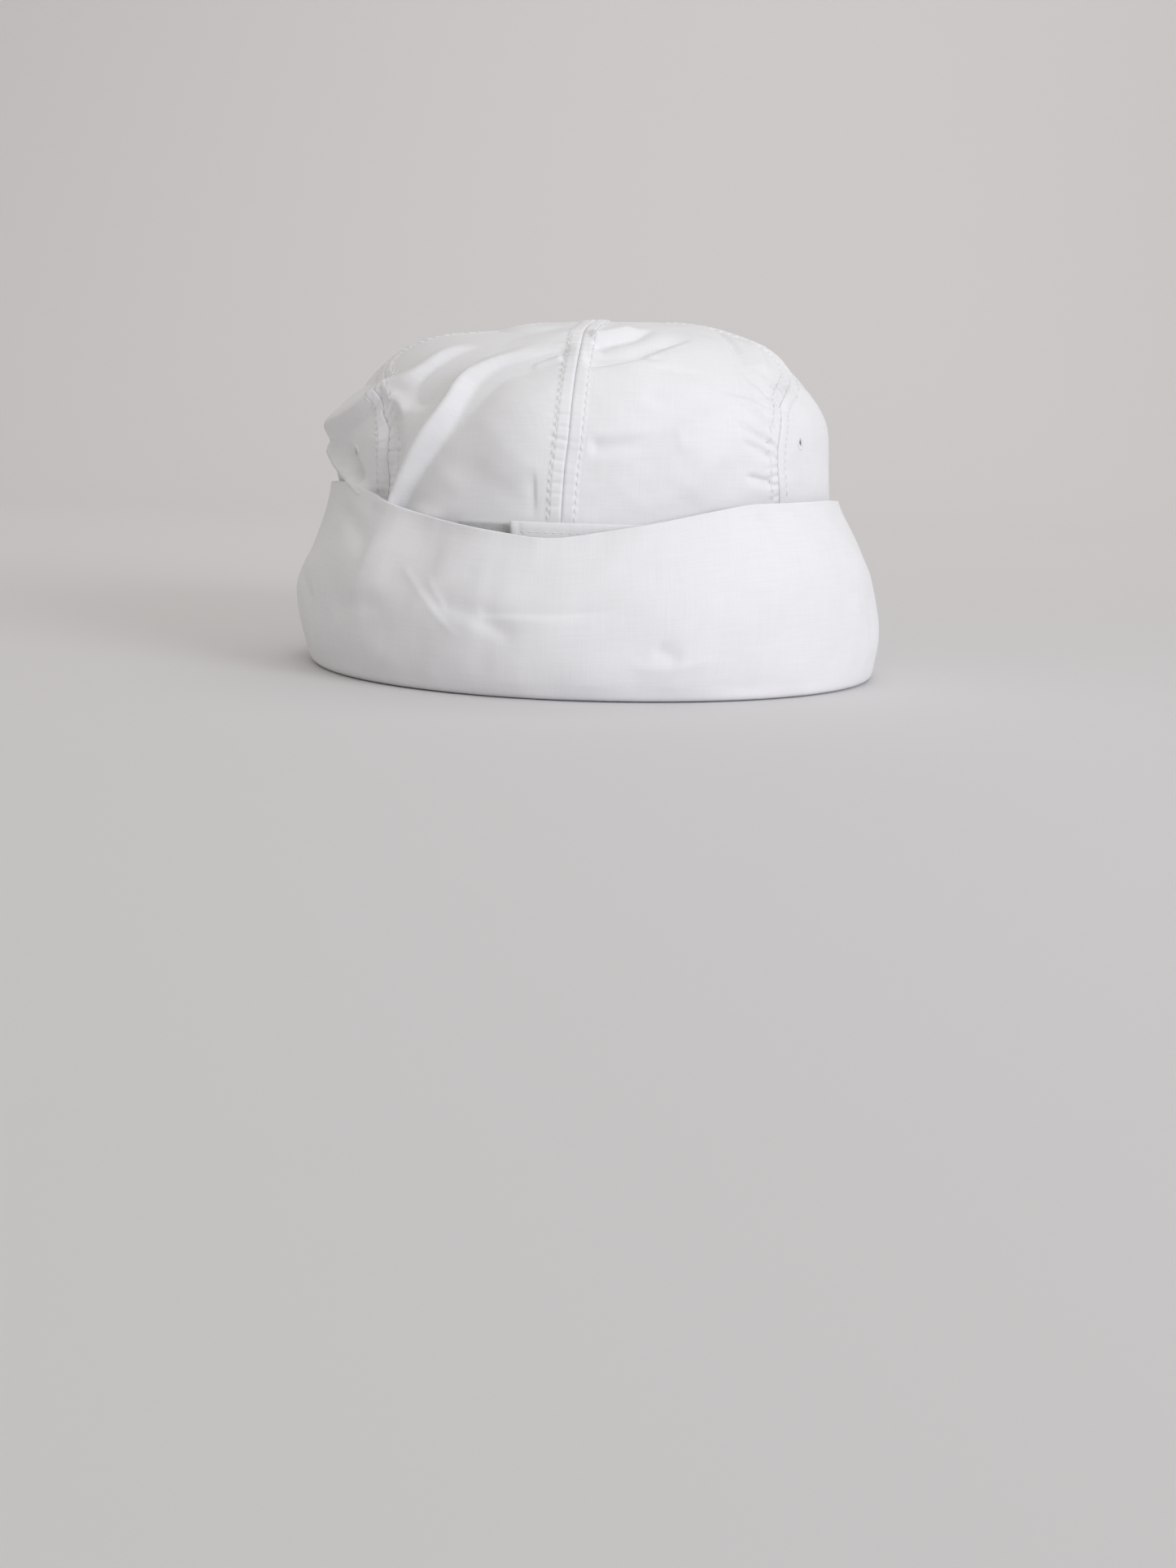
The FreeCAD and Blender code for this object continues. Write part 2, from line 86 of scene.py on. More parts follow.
def paper():
    """Matt pale paper."""
    material, _, _, shader = blank_finish("studio_paper", 0.85)
    shader.inputs["Base Color"].default_value = (0.70, 0.69, 0.695, 1.0)
    shader.inputs["Specular IOR Level"].default_value = 0.2
    return material


backdrop = sweep("studio_sweep", 4.0, -3.0, 2.6, 3.5, 1.4)
backdrop.data.materials.append(paper())


def soft_lamp(name, place, target, width, power, colour, spread=180):
    """A square lamp at a place, aimed at a target."""
    lamp = bpy.data.lights.new(name, "AREA")
    lamp.shape = "SQUARE"
    lamp.size = width
    lamp.energy = power
    lamp.color = colour
    lamp.spread = math.radians(spread)
    obj = bpy.data.objects.new(name, lamp)
    bpy.context.scene.collection.objects.link(obj)
    obj.location = place
    aim = np.array(target) - np.array(place)
    obj.rotation_euler = Vector(aim).to_track_quat("-Z", "Y").to_euler()


soft_lamp("window", (1.1, -1.2, 0.5), (0.0, 0.0, 0.07), 0.75, 2.95, (0.905, 0.925, 1.0), 80)
soft_lamp("overhead", (-0.1, -0.5, 1.7), (0.0, 0.0, 0.05), 1.1, 3.8, (1.0, 1.0, 1.0))
soft_lamp("backdrop_lamp", (0.5, 0.9, 1.9), (0.2, 2.6, 0.7), 1.5, 13.0, (1.0, 0.99, 1.0))

world = bpy.data.worlds.new("studio_air")
world.use_nodes = True
world.node_tree.nodes["Background"].inputs["Color"].default_value = (1.0, 0.972, 0.93, 1.0)
world.node_tree.nodes["Background"].inputs["Strength"].default_value = 0.54
bpy.context.scene.world = world
bpy.context.scene.view_settings.view_transform = "Standard"

lens = bpy.data.cameras.new("camera")
lens.sensor_width = 36.0
lens.lens = 46.7
lens.clip_start = 0.02
lens.clip_end = 50.0
camera = bpy.data.objects.new("camera", lens)
bpy.context.scene.collection.objects.link(camera)
camera.rotation_mode = "XYZ"
CAMERA_PITCH = 10.0
CAMERA_ROLL = 1.9
look = Matrix.Rotation(math.radians(90 - CAMERA_PITCH), 4, "X") @ Matrix.Rotation(math.radians(CAMERA_ROLL), 4, "Z")
camera.matrix_world = Matrix.Translation((4.8 * MM, -775 * MM, 90 * MM)) @ look
bpy.context.scene.camera = camera


# ---------------------------------------------------------------------------------------------------------
# The crown: six panels of thin white cotton, joined by seams with a row of topstitching each side.
# The cloth is soft, so it bulges, folds and puckers over the form that it is cut to.  Angles are in degrees
# round from the rear seam, and heights along the cloth in millimetres from its foot.
side_low, side_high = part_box("crown_side_right")
front_low, front_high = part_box("crown_front_right")
HALF_WIDTH = side_high[0] / MM
STRETCH = front_high[1] / side_high[0]
TOP = side_high[2] / MM
FOOT = side_low[2] / MM
SHOULDER_RADIUS = 45.0
SHOULDER_DROP = 48.0

shoulder_x = HALF_WIDTH - SHOULDER_RADIUS
shoulder_z = TOP - SHOULDER_DROP
top_radius = (shoulder_x ** 2 + SHOULDER_DROP ** 2 - SHOULDER_RADIUS ** 2) / (2 * (SHOULDER_DROP - SHOULDER_RADIUS))
shoulder_turn = math.atan2(shoulder_z - (TOP - top_radius), shoulder_x)
wall_length = shoulder_z - FOOT
shoulder_length = SHOULDER_RADIUS * shoulder_turn
CLOTH_LENGTH = wall_length + shoulder_length + top_radius * (math.pi / 2 - shoulder_turn)


def profile(up):
    """Distance from the axis and height of the plain form, and the outward normal there."""
    over = (up - wall_length) / SHOULDER_RADIUS
    across = shoulder_turn + (up - wall_length - shoulder_length) / top_radius
    on_wall = up < wall_length
    on_shoulder = (up >= wall_length) & (up < wall_length + shoulder_length)
    lean = np.where(on_wall, 0.0, np.where(on_shoulder, over, across))
    radius = np.where(on_wall, HALF_WIDTH,
                      np.where(on_shoulder, shoulder_x + SHOULDER_RADIUS * np.cos(over), top_radius * np.cos(across)))
    height = np.where(on_wall, FOOT + up,
                      np.where(on_shoulder, shoulder_z + SHOULDER_RADIUS * np.sin(over),
                               TOP - top_radius + top_radius * np.sin(across)))
    return radius, height, np.cos(lean), np.sin(lean)


def form_point(angle, up, out):
    """Points in metres that lie out millimetres off the plain form."""
    radius, height, level, rise = profile(up)
    turn = np.radians(angle)
    x, y = radius * np.sin(turn), -radius * STRETCH * np.cos(turn)
    nx, ny, nz = level * np.sin(turn) * STRETCH, -level * np.cos(turn), rise
    size = np.sqrt(nx ** 2 + ny ** 2 + nz ** 2)
    return np.stack([x + out * nx / size, y + out * ny / size, height + out * nz / size], -1) * MM


def smooth_step(value, low, high):
    """0 below low and 1 above high, with a smooth rise between."""
    t = np.clip((value - low) / (high - low), 0.0, 1.0)
    return t * t * (3 - 2 * t)


def eased(value, table, reach):
    """A table looked up with its corners rounded off over a reach."""
    xs, ys = zip(*table)
    return sum(np.interp(value + shift * reach, xs, ys) for shift in (-1, -0.5, 0, 0.5, 1)) / 5


def soft_waves(points, seed, size, count=14):
    """A smooth random value between about -1 and 1 at points in space, whose waves are size millimetres long."""
    draw = np.random.default_rng(seed)
    total = np.zeros(points.shape[:-1])
    for _ in range(count):
        heading = draw.normal(size=3)
        heading /= np.linalg.norm(heading)
        pitch = size * MM * draw.uniform(0.7, 1.5)
        total += np.sin(points @ heading * 2 * math.pi / pitch + draw.uniform(0, 2 * math.pi))
    return total / math.sqrt(count)


def lateral(angle, up):
    """Distance round the form in millimetres, so that folds have a true width."""
    radius = profile(up)[0]
    return np.radians(angle) * (0.35 * HALF_WIDTH + 0.65 * radius) * 1.04


def curve_through(points, samples=36):
    """A smooth open curve through a few points."""
    points = np.array(points, float)
    padded = np.vstack([2 * points[0] - points[1], points, 2 * points[-1] - points[-2]])
    out = []
    spans = len(points) - 1
    for k in range(samples + 1):
        place = k / samples * spans
        i = min(int(place), spans - 1)
        t = place - i
        a, b, c, d = padded[i:i + 4]
        square, cube = 2 * a - 5 * b + 4 * c - d, 3 * b - a - 3 * c + d
        out.append(0.5 * (2 * b + (c - a) * t + square * t ** 2 + cube * t ** 3))
    return np.array(out)


def fold(x, y, points, *shape):
    """A fold on the crown along a curve of (angle, up) points."""
    return fold_along(x, y, curve_through([(lateral(np.array(a), np.array(u)), u) for a, u in points]), *shape)


def fold_along(x, y, line, height, left, right, ends=(0.25, 0.25), crease=2.0):
    """A ridge (or, with a negative height, a valley) along a line of points in the plane of the cloth.

    left and right are how far it spreads to each side of its line, seen along the curve, and ends is the
    share of its length over which it fades in and out.
    """
    best = np.full(x.shape, 1e9)
    offset = np.zeros(x.shape)
    along = np.zeros(x.shape)
    for k in range(len(line) - 1):
        start, step = line[k], line[k + 1] - line[k]
        length = math.hypot(*step)
        t = np.clip(((x - start[0]) * step[0] + (y - start[1]) * step[1]) / length ** 2, 0, 1)
        dx, dy = x - start[0] - t * step[0], y - start[1] - t * step[1]
        gap = np.hypot(dx, dy)
        nearer = gap < best
        best = np.where(nearer, gap, best)
        side = np.sign(step[0] * dy - step[1] * dx)
        offset = np.where(nearer, side * gap, offset)
        along = np.where(nearer, (k + t) / (len(line) - 1), along)
    spread = np.where(offset > 0, left, right)
    fade = smooth_step(along, 0.0, ends[0] + 1e-6) * (1 - smooth_step(along, 1 - ends[1] - 1e-6, 1.0))
    return height * fade * np.exp(-(np.abs(offset) / spread) ** crease)


SEAMS = {  # seam: how its angle drifts from foot to top, as (up, angle) points
    "rear": [(0, -4.4), (58, -4.4), (76, -3.9), (84, -3.3), (96, -3.0), (111, -2.6), (126, -1.9), (150, -1.0),
             (195, 0.0)],
    "rear_right": [(0, 48.5), (62, 47.8), (78, 45.9), (88, 46.4), (94, 48.7), (101, 52), (105.6, 57.5), (109.3, 65),
                   (115, 70.5), (124, 73.5), (150, 73), (195, 70)],
    "front_right": [(0, 120.0), (60, 120), (90, 122), (115, 118), (150, 121), (195, 120.0)],
    "front": [(0, 180.0), (60, 180), (95, 181), (125, 179), (195, 180.0)],
    "front_left": [(0, 240.0), (60, 240), (90, 238), (120, 242), (195, 240.0)],
    "rear_left": [(0, 310), (62, 311.5), (73, 312.5), (80, 312.7), (86.5, 311.8), (93.5, 309), (99.6, 306),
                  (103.9, 301.5), (108.9, 294.5), (114, 289), (124, 286), (150, 287), (195, 290)],
}
SEAM_STRENGTH = {  # seam: how hard it puckers, as (up, share) points
    "rear": [(0, 0.2), (60, 0.5), (80, 0.7), (100, 0.75), (112, 1.0), (165, 1.0), (195, 0.3)],
    "rear_right": [(0, 0.2), (55, 0.5), (75, 0.8), (100, 1.0), (125, 1.0), (150, 0.7), (195, 0.3)],
    "front_right": [(0, 0.2), (60, 0.5), (110, 0.8), (160, 0.7), (195, 0.3)],
    "front": [(0, 0.2), (60, 0.4), (110, 0.8), (160, 0.9), (195, 0.3)],
    "front_left": [(0, 0.2), (60, 0.5), (110, 0.8), (160, 0.7), (195, 0.3)],
    "rear_left": [(0, 0.2), (55, 0.5), (75, 0.8), (100, 0.9), (125, 0.9), (150, 0.7), (195, 0.3)],
}
ROW_OFFSET = 4.4
STITCH_PITCH, STITCH_LENGTH, THREAD_RADIUS = 3.0, 2.3, 0.17


def seam_angle(name, up):
    """The direction of a seam at a height along the cloth, with its corners rounded off."""
    ups, angles = zip(*SEAMS[name])
    step = np.interp(up, ups, angles)
    return (np.interp(up - 4, ups, angles) + 2 * step + np.interp(up + 4, ups, angles)) / 4


def seam_slope(name, up):
    """The distance in millimetres across one degree at a seam, and how far the seam drifts for each step up."""
    radius = profile(up)[0]
    turn = np.radians(seam_angle(name, up))
    across = np.radians(1) * np.hypot(radius * np.cos(turn), radius * STRETCH * np.sin(turn))
    return across, (seam_angle(name, up + 1) - seam_angle(name, up - 1)) / 2 * across


def seam_frame(name, angle, up):
    """Signed distance from a seam, and the place along it, both in millimetres."""
    across, slope = seam_slope(name, up)
    away = ((angle - seam_angle(name, up) + 180) % 360 - 180) * across / np.sqrt(1 + slope ** 2)
    foot = up + away * slope / np.sqrt(1 + slope ** 2)
    return away, np.interp(foot, *SEAM_LENGTHS[name])


def seam_length(name):
    """A table of height along the cloth against length along a seam."""
    ups = np.linspace(0, CLOTH_LENGTH, 400)
    slope = seam_slope(name, ups)[1]
    step = np.sqrt(1 + slope ** 2) * (ups[1] - ups[0])
    return ups, np.concatenate([[0], np.cumsum((step[1:] + step[:-1]) / 2)])


SEAM_LENGTHS = {name: seam_length(name) for name in SEAMS}


def pucker_list(name, seed):
    """Where the thread draws the cloth into small cross valleys: (place along, strength, width, reaches, tilt)."""
    draw = np.random.default_rng(seed)
    out = []
    ups, shares = zip(*SEAM_STRENGTH[name])
    heights, lengths = SEAM_LENGTHS[name]
    along = float(np.interp(50, heights, lengths))
    while along < lengths[-1] - 8:
        up = np.interp(along, lengths, heights)
        share = np.interp(up, ups, shares)
        tilt = PUCKER_TILT.get(name, 0.0) * smooth_step(up, 74, 88) + draw.uniform(-0.12, 0.12)
        out.append((along, share * draw.uniform(0.4, 1.0), draw.uniform(0.5, 0.7),
                    draw.uniform(0.0, 5.0) * share, draw.uniform(0.0, 5.0) * share, tilt))
        along += draw.uniform(2.4, 3.9) * (1.5 - 0.5 * share)
    return out


PUCKER_TILT = {"rear_right": -0.6, "rear_left": 0.5}
PUCKERS = {name: pucker_list(name, 40 + k) for k, name in enumerate(SEAMS)}
# How strongly the valleys show on the left and on the right of a seam, below and above its shoulder.
PUCKER_SIDES = {"rear": ((1.0, 0.35), (1.0, 1.0)), "rear_right": ((1.2, 0.15), (1.0, 0.8)),
                "rear_left": ((0.6, 1.0), (0.9, 0.9))}


def seam_relief(angle, up):
    """The height of every seam's own shape: its groove, its doubled band, its stitch rows and its puckers."""
    band, groove, rows, ridges = (np.zeros_like(angle) for _ in range(4))
    for name in SEAMS:
        away, along = seam_frame(name, angle, up)
        near = np.abs(away) < 18
        if not near.any():
            continue
        a, v, u = away[near], along[near], up[near]
        band[near] = np.maximum(band[near], 1 - smooth_step(np.abs(a), ROW_OFFSET + 0.1, ROW_OFFSET + 1.0))
        groove[near] = np.maximum(groove[near], np.exp(-(a / 0.42) ** 2))
        dotted = 0.65 + 0.35 * np.cos(v * 2 * math.pi / STITCH_PITCH)
        rows[near] = np.maximum(rows[near], dotted * np.exp(-((np.abs(a) - ROW_OFFSET) / 0.5) ** 2))
        low, high = PUCKER_SIDES.get(name, ((1.0, 1.0), (1.0, 1.0)))
        part = np.zeros_like(a)
        for at, strength, width, reach_left, reach_right, tilt in PUCKERS[name]:
            close = np.abs(v - at) < 9
            if not close.any():
                continue
            b, w, h = a[close], v[close], u[close]
            reach = np.where(b < 0, reach_left, reach_right)
            shoulder = smooth_step(h, 102, 112)
            side = np.where(b < 0, low[0] + (high[0] - low[0]) * shoulder, low[1] + (high[1] - low[1]) * shoulder)
            fade = (1 - smooth_step(np.abs(b), ROW_OFFSET * 0.9, ROW_OFFSET + 0.8 + reach)) * side
            across = w - at - tilt * b
            swell, valley = np.exp(-(across / 1.5) ** 2), np.exp(-(across / width) ** 2)
            part[close] += strength * fade * (0.22 * swell - 0.85 * valley)
        ridges[near] += part * (1 - smooth_step(u, 180, 188))
    lift = smooth_step(up, 56, 61)
    return (0.5 * band - 0.45 * groove - 0.6 * rows + ridges) * lift


DEEPEST_SAG = 2.0  # deeper than this, the cloth or a tape would meet the shell
DOT_CIRCLE = 36.0  # the fastener dots under the top lie on a circle
DOT_ANGLES = (25, -25, 150, 210)
DOT_TOP, DOT_REACH, DOT_FALL = 9.5, 26, 3.8  # the cloth lies flat on a dot, then falls away from it
# How far each side of the crown stands off its plain form, as (up, millimetres) points.
LEFT_BULGE = ((58, 0), (66, 0.5), (72, 1.5), (80, 2.4), (86, 2.4), (97, 0), (108, -5), (125, -6), (150, -4),
              (175, -1.5), (195, 0))
RIGHT_BULGE = ((58, 0), (80, -1.5), (95, 0.2), (112, -1.8), (125, -0.3), (140, 0.6), (152, 2.2), (165, 2.2),
               (195, 0.8))


CROWN_FOLDS = (  # (angle, up) points, then height, spread to each side, ends and sharpness
    # The rear left panel is slack: two long folds run down to its lower corner, with hollows beside them.
    ([(-6, 106), (-17, 64)], 2.2, 14, 14, (0.35, 0.35)),
    ([(-3, 122.5), (-6.7, 121), (-12.3, 117), (-16, 113.8), (-22.3, 109), (-26.3, 97.6), (-29.7, 86.3),
      (-32.7, 79.3), (-37.3, 70.3), (-41.3, 61.3), (-43, 55)], -2.6, 6.0, 2.0, (0.2, 0.05), 1.5),
    ([(-10, 126), (-19, 119), (-25.5, 111), (-29, 104.6), (-31, 94), (-34, 85.9), (-37.8, 77), (-41, 69),
      (-44.5, 61), (-46, 55)], 4.2, 2.6, 3.2, (0.35, 0.15), 1.9),
    ([(-28, 118), (-38, 107), (-40, 99), (-39, 91)], -3.4, 4.5, 4.5, (0.3, 0.3)),
    ([(-52, 98), (-46, 95), (-42, 90)], 1.8, 2.6, 2.6, (0.3, 0.3)),
    ([(-50, 92), (-46, 84), (-45, 75), (-47, 66), (-49, 58)], -3.4, 5.0, 5.0, (0.2, 0.1)),
    ([(-26, 132), (-34, 124), (-39.3, 118.9), (-42.7, 111.6), (-46, 104.6), (-52.7, 98.6), (-57, 93.5),
      (-62, 89.9), (-68, 87.3), (-80, 84), (-92, 82)], 4.9, 2.4, 8.0, (0.3, 0.15), 1.8),
    ([(-84, 92), (-90, 80), (-92, 70)], 1.6, 12, 12, (0.4, 0.3)),
    ([(-80, 82), (-72, 74.3), (-65.7, 70.6), (-60, 66.6), (-54.7, 63), (-50, 61)], 3.8, 2.6, 2.2, (0.15, 0.25),
      1.9),
    ([(-70, 80), (-62, 75.5), (-58.5, 71), (-55.5, 66.6)], -3.0, 2.6, 2.6, (0.3, 0.2)),
    ([(-58, 60), (-46, 58), (-36, 57), (-29, 55)], 1.4, 3.5, 5.0, (0.2, 0.2)),
    ([(-10.2, 76), (-10.1, 66), (-9.8, 54)], -0.6, 0.9, 2.4, (0.4, 0.05)),
    ([(-16, 112), (-10, 115), (-6, 117)], 1.3, 3.0, 2.0, (0.3, 0.2)),
    # The rear right panel hangs smoother, with faint level wrinkles below its upper folds.
    ([(20, 94), (30, 68)], 1.8, 18, 18, (0.4, 0.4)),
    ([(1, 122.5), (7.7, 128.2), (14.7, 133.2), (26, 143.6)], -2.2, 1.4, 4.0, (0.1, 0.3), 1.6),
    ([(0, 129), (8, 134), (18, 141)], 1.8, 4.0, 3.0, (0.15, 0.3), 1.8),
    ([(-1, 113), (1.7, 113.6), (6.7, 115.6), (12.3, 117.9), (16.3, 121.2), (27.7, 129.2), (36, 132)], -2.5, 4.5,
      1.5, (0.1, 0.3), 1.6),
    ([(12.5, 118), (16.3, 117.3), (21, 116.5)], -0.8, 1.0, 1.4, (0.3, 0.4), 1.6),
    ([(16, 113.3), (19, 112.8), (23, 111.9), (26, 110.6), (32, 110)], -0.9, 1.2, 2.5, (0.3, 0.4), 1.6),
    ([(12, 101), (15, 100.3), (19.3, 98.3), (26.3, 97.9), (37, 99)], -1.0, 4.0, 3.0, (0.3, 0.3)),
    ([(0.3, 83), (4.3, 82.6), (9.7, 83.6), (14.3, 85.6), (19.3, 87.9)], -1.4, 2.4, 3.0, (0.15, 0.4)),
    ([(19, 91), (20, 86), (20.5, 80)], 0.5, 1.2, 1.2, (0.4, 0.4)),
    ([(32, 104.5), (36.7, 103.3), (43, 100.6), (47, 97.5)], -1.3, 0.9, 1.5, (0.35, 0.15), 1.7),
    ([(35, 103), (39.3, 97.9), (43.3, 92.6), (45, 89)], -1.3, 0.9, 1.5, (0.35, 0.15), 1.7),
    ([(32, 93), (36, 90.6), (40, 87.8), (42.7, 85.9), (45, 83.5)], -1.3, 0.9, 1.5, (0.35, 0.15), 1.7),
    ([(34, 86.5), (37.7, 84.3), (42, 82.3), (45, 81)], -1.3, 0.9, 1.5, (0.35, 0.15), 1.7),
    ([(36, 74), (40, 73), (45, 71.5)], -1.3, 0.9, 1.5, (0.35, 0.15), 1.7),
    ([(74, 150), (63, 143), (50, 125), (45, 114), (48.3, 104.6), (51, 99), (54.3, 92.6)], -1.7, 2.0, 2.4,
      (0.3, 0.25), 1.7),
    ([(70, 138), (58, 122), (53, 112)], 1.6, 5.0, 5.0, (0.3, 0.3)),
    # The side and front panels have soft folds of the same kind.
    ([(104, 118), (112, 100), (108, 80), (112, 64)], 2.2, 8, 6, (0.3, 0.2), 1.8),
    ([(128, 130), (136, 108), (148, 88), (150, 66)], 2.6, 7, 5, (0.3, 0.2), 1.8),
    ([(150, 128), (158, 108), (168, 92)], -1.6, 5, 4, (0.3, 0.3)),
    ([(-116, 124), (-108, 104), (-112, 84), (-104, 64)], 2.4, 7, 6, (0.3, 0.2), 1.8),
    ([(-140, 132), (-146, 112), (-156, 94), (-160, 70)], 2.6, 7, 5, (0.3, 0.2), 1.8),
    ([(-150, 118), (-136, 98), (-126, 78)], -1.8, 5, 4, (0.3, 0.3)),
)


def crown_relief(angle, up):
    """How far the worn cloth stands off the plain form, in millimetres."""
    angle = (angle + 180) % 360 - 180
    x, y = lateral(angle, up), up
    out = np.zeros_like(x)
    for points, *shape in CROWN_FOLDS:
        out += fold(x, y, points, *shape)
    # The whole crown leans a little: it bulges low on the left and high on the right, and sags between.
    turned = np.radians(angle)
    left, right = np.maximum(-np.sin(turned), 0) ** 1.5, np.maximum(np.sin(turned), 0) ** 1.5
    out += left * eased(up, LEFT_BULGE, 4) + right * eased(up, RIGHT_BULGE, 4)
    out *= 1 - smooth_step(up, 150, 184)
    place = form_point(angle, up, 0 * up)
    out += 0.5 * soft_waves(place, 3, 62) + 0.24 * soft_waves(place, 5, 22) + 0.08 * soft_waves(place, 8, 9)
    out += 1.0 * smooth_step(up, 130, 175)
    start = 56 - 9 * smooth_step(np.abs(angle), 27, 37)
    worn = smooth_step(up, start, start + 11)
    for direction in DOT_ANGLES:
        turn = math.radians(direction)
        centre = np.array([math.sin(turn), -math.cos(turn) * STRETCH]) * DOT_CIRCLE * MM
        away = np.linalg.norm(place[..., :2] - centre, axis=-1) / MM
        tent = 0.1 - DOT_FALL * smooth_step(away, DOT_TOP, DOT_REACH)
        out = np.where(away < DOT_REACH, np.maximum(out, tent), out)
    return np.maximum(out, -DEEPEST_SAG) * worn + seam_relief(angle, up)


def apex_shift(up):
    """The middle of the top sits a little to the right of the cap's middle."""
    return 3.5 * smooth_step(up, 130, CLOTH_LENGTH)


def crown_point(angle, up, under=0.0):
    """Points in metres on the worn crown, or under millimetres below its face."""
    points = form_point(angle, up, crown_relief(angle, up) - under)
    points[..., 0] += apex_shift(up) * MM
    return points


def grid_mesh(name, points, flat):
    """A sheet of quads from a grid of points, with flat (in metres) as its cloth map."""
    rows, columns = points.shape[:2]
    index = np.arange(rows * columns).reshape(rows, columns)
    quads = np.stack([index[:-1, :-1], index[:-1, 1:], index[1:, 1:], index[1:, :-1]], -1).reshape(-1, 4)
    obj = add_mesh(name, points.reshape(-1, 3).tolist(), quads.tolist())
    layer = obj.data.uv_layers.new(name="cloth")
    layer.data.foreach_set("uv", flat.reshape(-1, 2)[quads.reshape(-1)].astype(np.float32).reshape(-1))
    return obj


def only(obj):
    """Makes an object the one that the next operator works on."""
    bpy.ops.object.select_all(action="DESELECT")
    obj.select_set(True)
    bpy.context.view_layer.objects.active = obj


def thicken(obj, thickness):
    """Gives a sheet its thickness on its inner side, and closes it."""
    only(obj)
    solid = obj.modifiers.new("thickness", "SOLIDIFY")
    solid.thickness = thickness
    solid.offset = -1.0
    bpy.ops.object.modifier_apply(modifier=solid.name)


def face_outward(obj, weld=0.0):
    """Joins points closer than weld, and turns all faces of a closed mesh outwards."""
    only(obj)
    bpy.ops.object.mode_set(mode="EDIT")
    bpy.ops.mesh.select_all(action="SELECT")
    if weld:
        bpy.ops.mesh.remove_doubles(threshold=weld)
    bpy.ops.mesh.normals_make_consistent(inside=False)
    bpy.ops.object.mode_set(mode="OBJECT")


def weave_group():
    """Plain weave and slubs from a cloth map, as a height and a tint."""
    group = bpy.data.node_groups.new("plain_weave", "ShaderNodeTree")
    face = group.interface
    face.new_socket("Thread", in_out="INPUT", socket_type="NodeSocketFloat").default_value = 0.00045
    face.new_socket("Colour", in_out="INPUT", socket_type="NodeSocketColor")
    face.new_socket("Slub", in_out="INPUT", socket_type="NodeSocketFloat").default_value = 0.05
    face.new_socket("Colour", in_out="OUTPUT", socket_type="NodeSocketColor")
    face.new_socket("Height", in_out="OUTPUT", socket_type="NodeSocketFloat")
    nodes, links = group.nodes, group.links
    given = nodes.new("NodeGroupInput")
    out = nodes.new("NodeGroupOutput")
    uv = nodes.new("ShaderNodeUVMap")
    uv.uv_map = "cloth"
    split = nodes.new("ShaderNodeSeparateXYZ")
    links.new(uv.outputs["UV"], split.inputs["Vector"])

    def math_node(kind, a, b=None):
        node = nodes.new("ShaderNodeMath")
        node.operation = kind
        for socket, value in zip(node.inputs, (a, b)):
            if value is None:
                continue
            if isinstance(value, (int, float)):
                socket.default_value = value
            else:
                links.new(value, socket)
        return node.outputs[0]

    pitch = math_node("DIVIDE", math.pi, given.outputs["Thread"])
    warp = math_node("SINE", math_node("MULTIPLY", split.outputs["X"], pitch))
    weft = math_node("SINE", math_node("MULTIPLY", split.outputs["Y"], pitch))
    over = math_node("MULTIPLY", warp, weft)
    round_warp = math_node("ABSOLUTE", warp)
    round_weft = math_node("ABSOLUTE", weft)
    round_top = math_node("MAXIMUM", round_warp, round_weft)
    thread = math_node("ADD", math_node("MULTIPLY", over, 0.35), math_node("MULTIPLY", round_top, 0.65))

    def streaks(scale):
        stretch = nodes.new("ShaderNodeMapping")
        stretch.inputs["Scale"].default_value = scale
        links.new(uv.outputs["UV"], stretch.inputs["Vector"])
        noise = nodes.new("ShaderNodeTexNoise")
        noise.noise_dimensions = "2D"
        noise.inputs["Scale"].default_value = 1.0
        noise.inputs["Detail"].default_value = 2.0
        links.new(stretch.outputs["Vector"], noise.inputs["Vector"])
        return noise.outputs["Fac"]

    slub = math_node("ADD", streaks((1400.0, 60.0, 1.0)), streaks((60.0, 1400.0, 1.0)))
    slub = math_node("SUBTRACT", slub, 1.0)
    height = math_node("ADD", thread, math_node("MULTIPLY", slub, 0.8))
    links.new(height, out.inputs["Height"])
    tint = nodes.new("ShaderNodeMix")
    tint.data_type = "RGBA"
    tint.blend_type = "MULTIPLY"
    tint.inputs["Factor"].default_value = 1.0
    links.new(given.outputs["Colour"], tint.inputs[6])
    shade = math_node("ADD", 0.985, math_node("MULTIPLY", slub, given.outputs["Slub"]))
    shade = math_node("MINIMUM", shade, 1.0)
    links.new(shade, tint.inputs[7])
    links.new(tint.outputs[2], out.inputs["Colour"])
    return group


plain_weave = weave_group()


def add_relief(nodes, links, height, strength, depth, sunk=False):
    """Gives a finish a small relief from a height."""
    relief = nodes.new("ShaderNodeBump")
    relief.invert = sunk
    relief.inputs["Strength"].default_value = strength
    relief.inputs["Distance"].default_value = depth
    links.new(height, relief.inputs["Height"])
    links.new(relief.outputs["Normal"], nodes["Principled BSDF"].inputs["Normal"])


def cotton(name, colour, thread=0.00042, bump=0.00003, slub=0.05, roughness=0.9):
    """Woven cotton: a soft matt cloth with a plain weave."""
    material, nodes, links, shader = blank_finish(name, roughness)
    shader.inputs["Specular IOR Level"].default_value = 0.25
    shader.inputs["Sheen Weight"].default_value = 0.12
    shader.inputs["Sheen Roughness"].default_value = 0.5
    weave = nodes.new("ShaderNodeGroup")
    weave.node_tree = plain_weave
    weave.inputs["Thread"].default_value = thread
    weave.inputs["Colour"].default_value = colour
    weave.inputs["Slub"].default_value = slub
    links.new(weave.outputs["Colour"], shader.inputs["Base Color"])
    add_relief(nodes, links, weave.outputs["Height"], 0.35, bump)
    return material


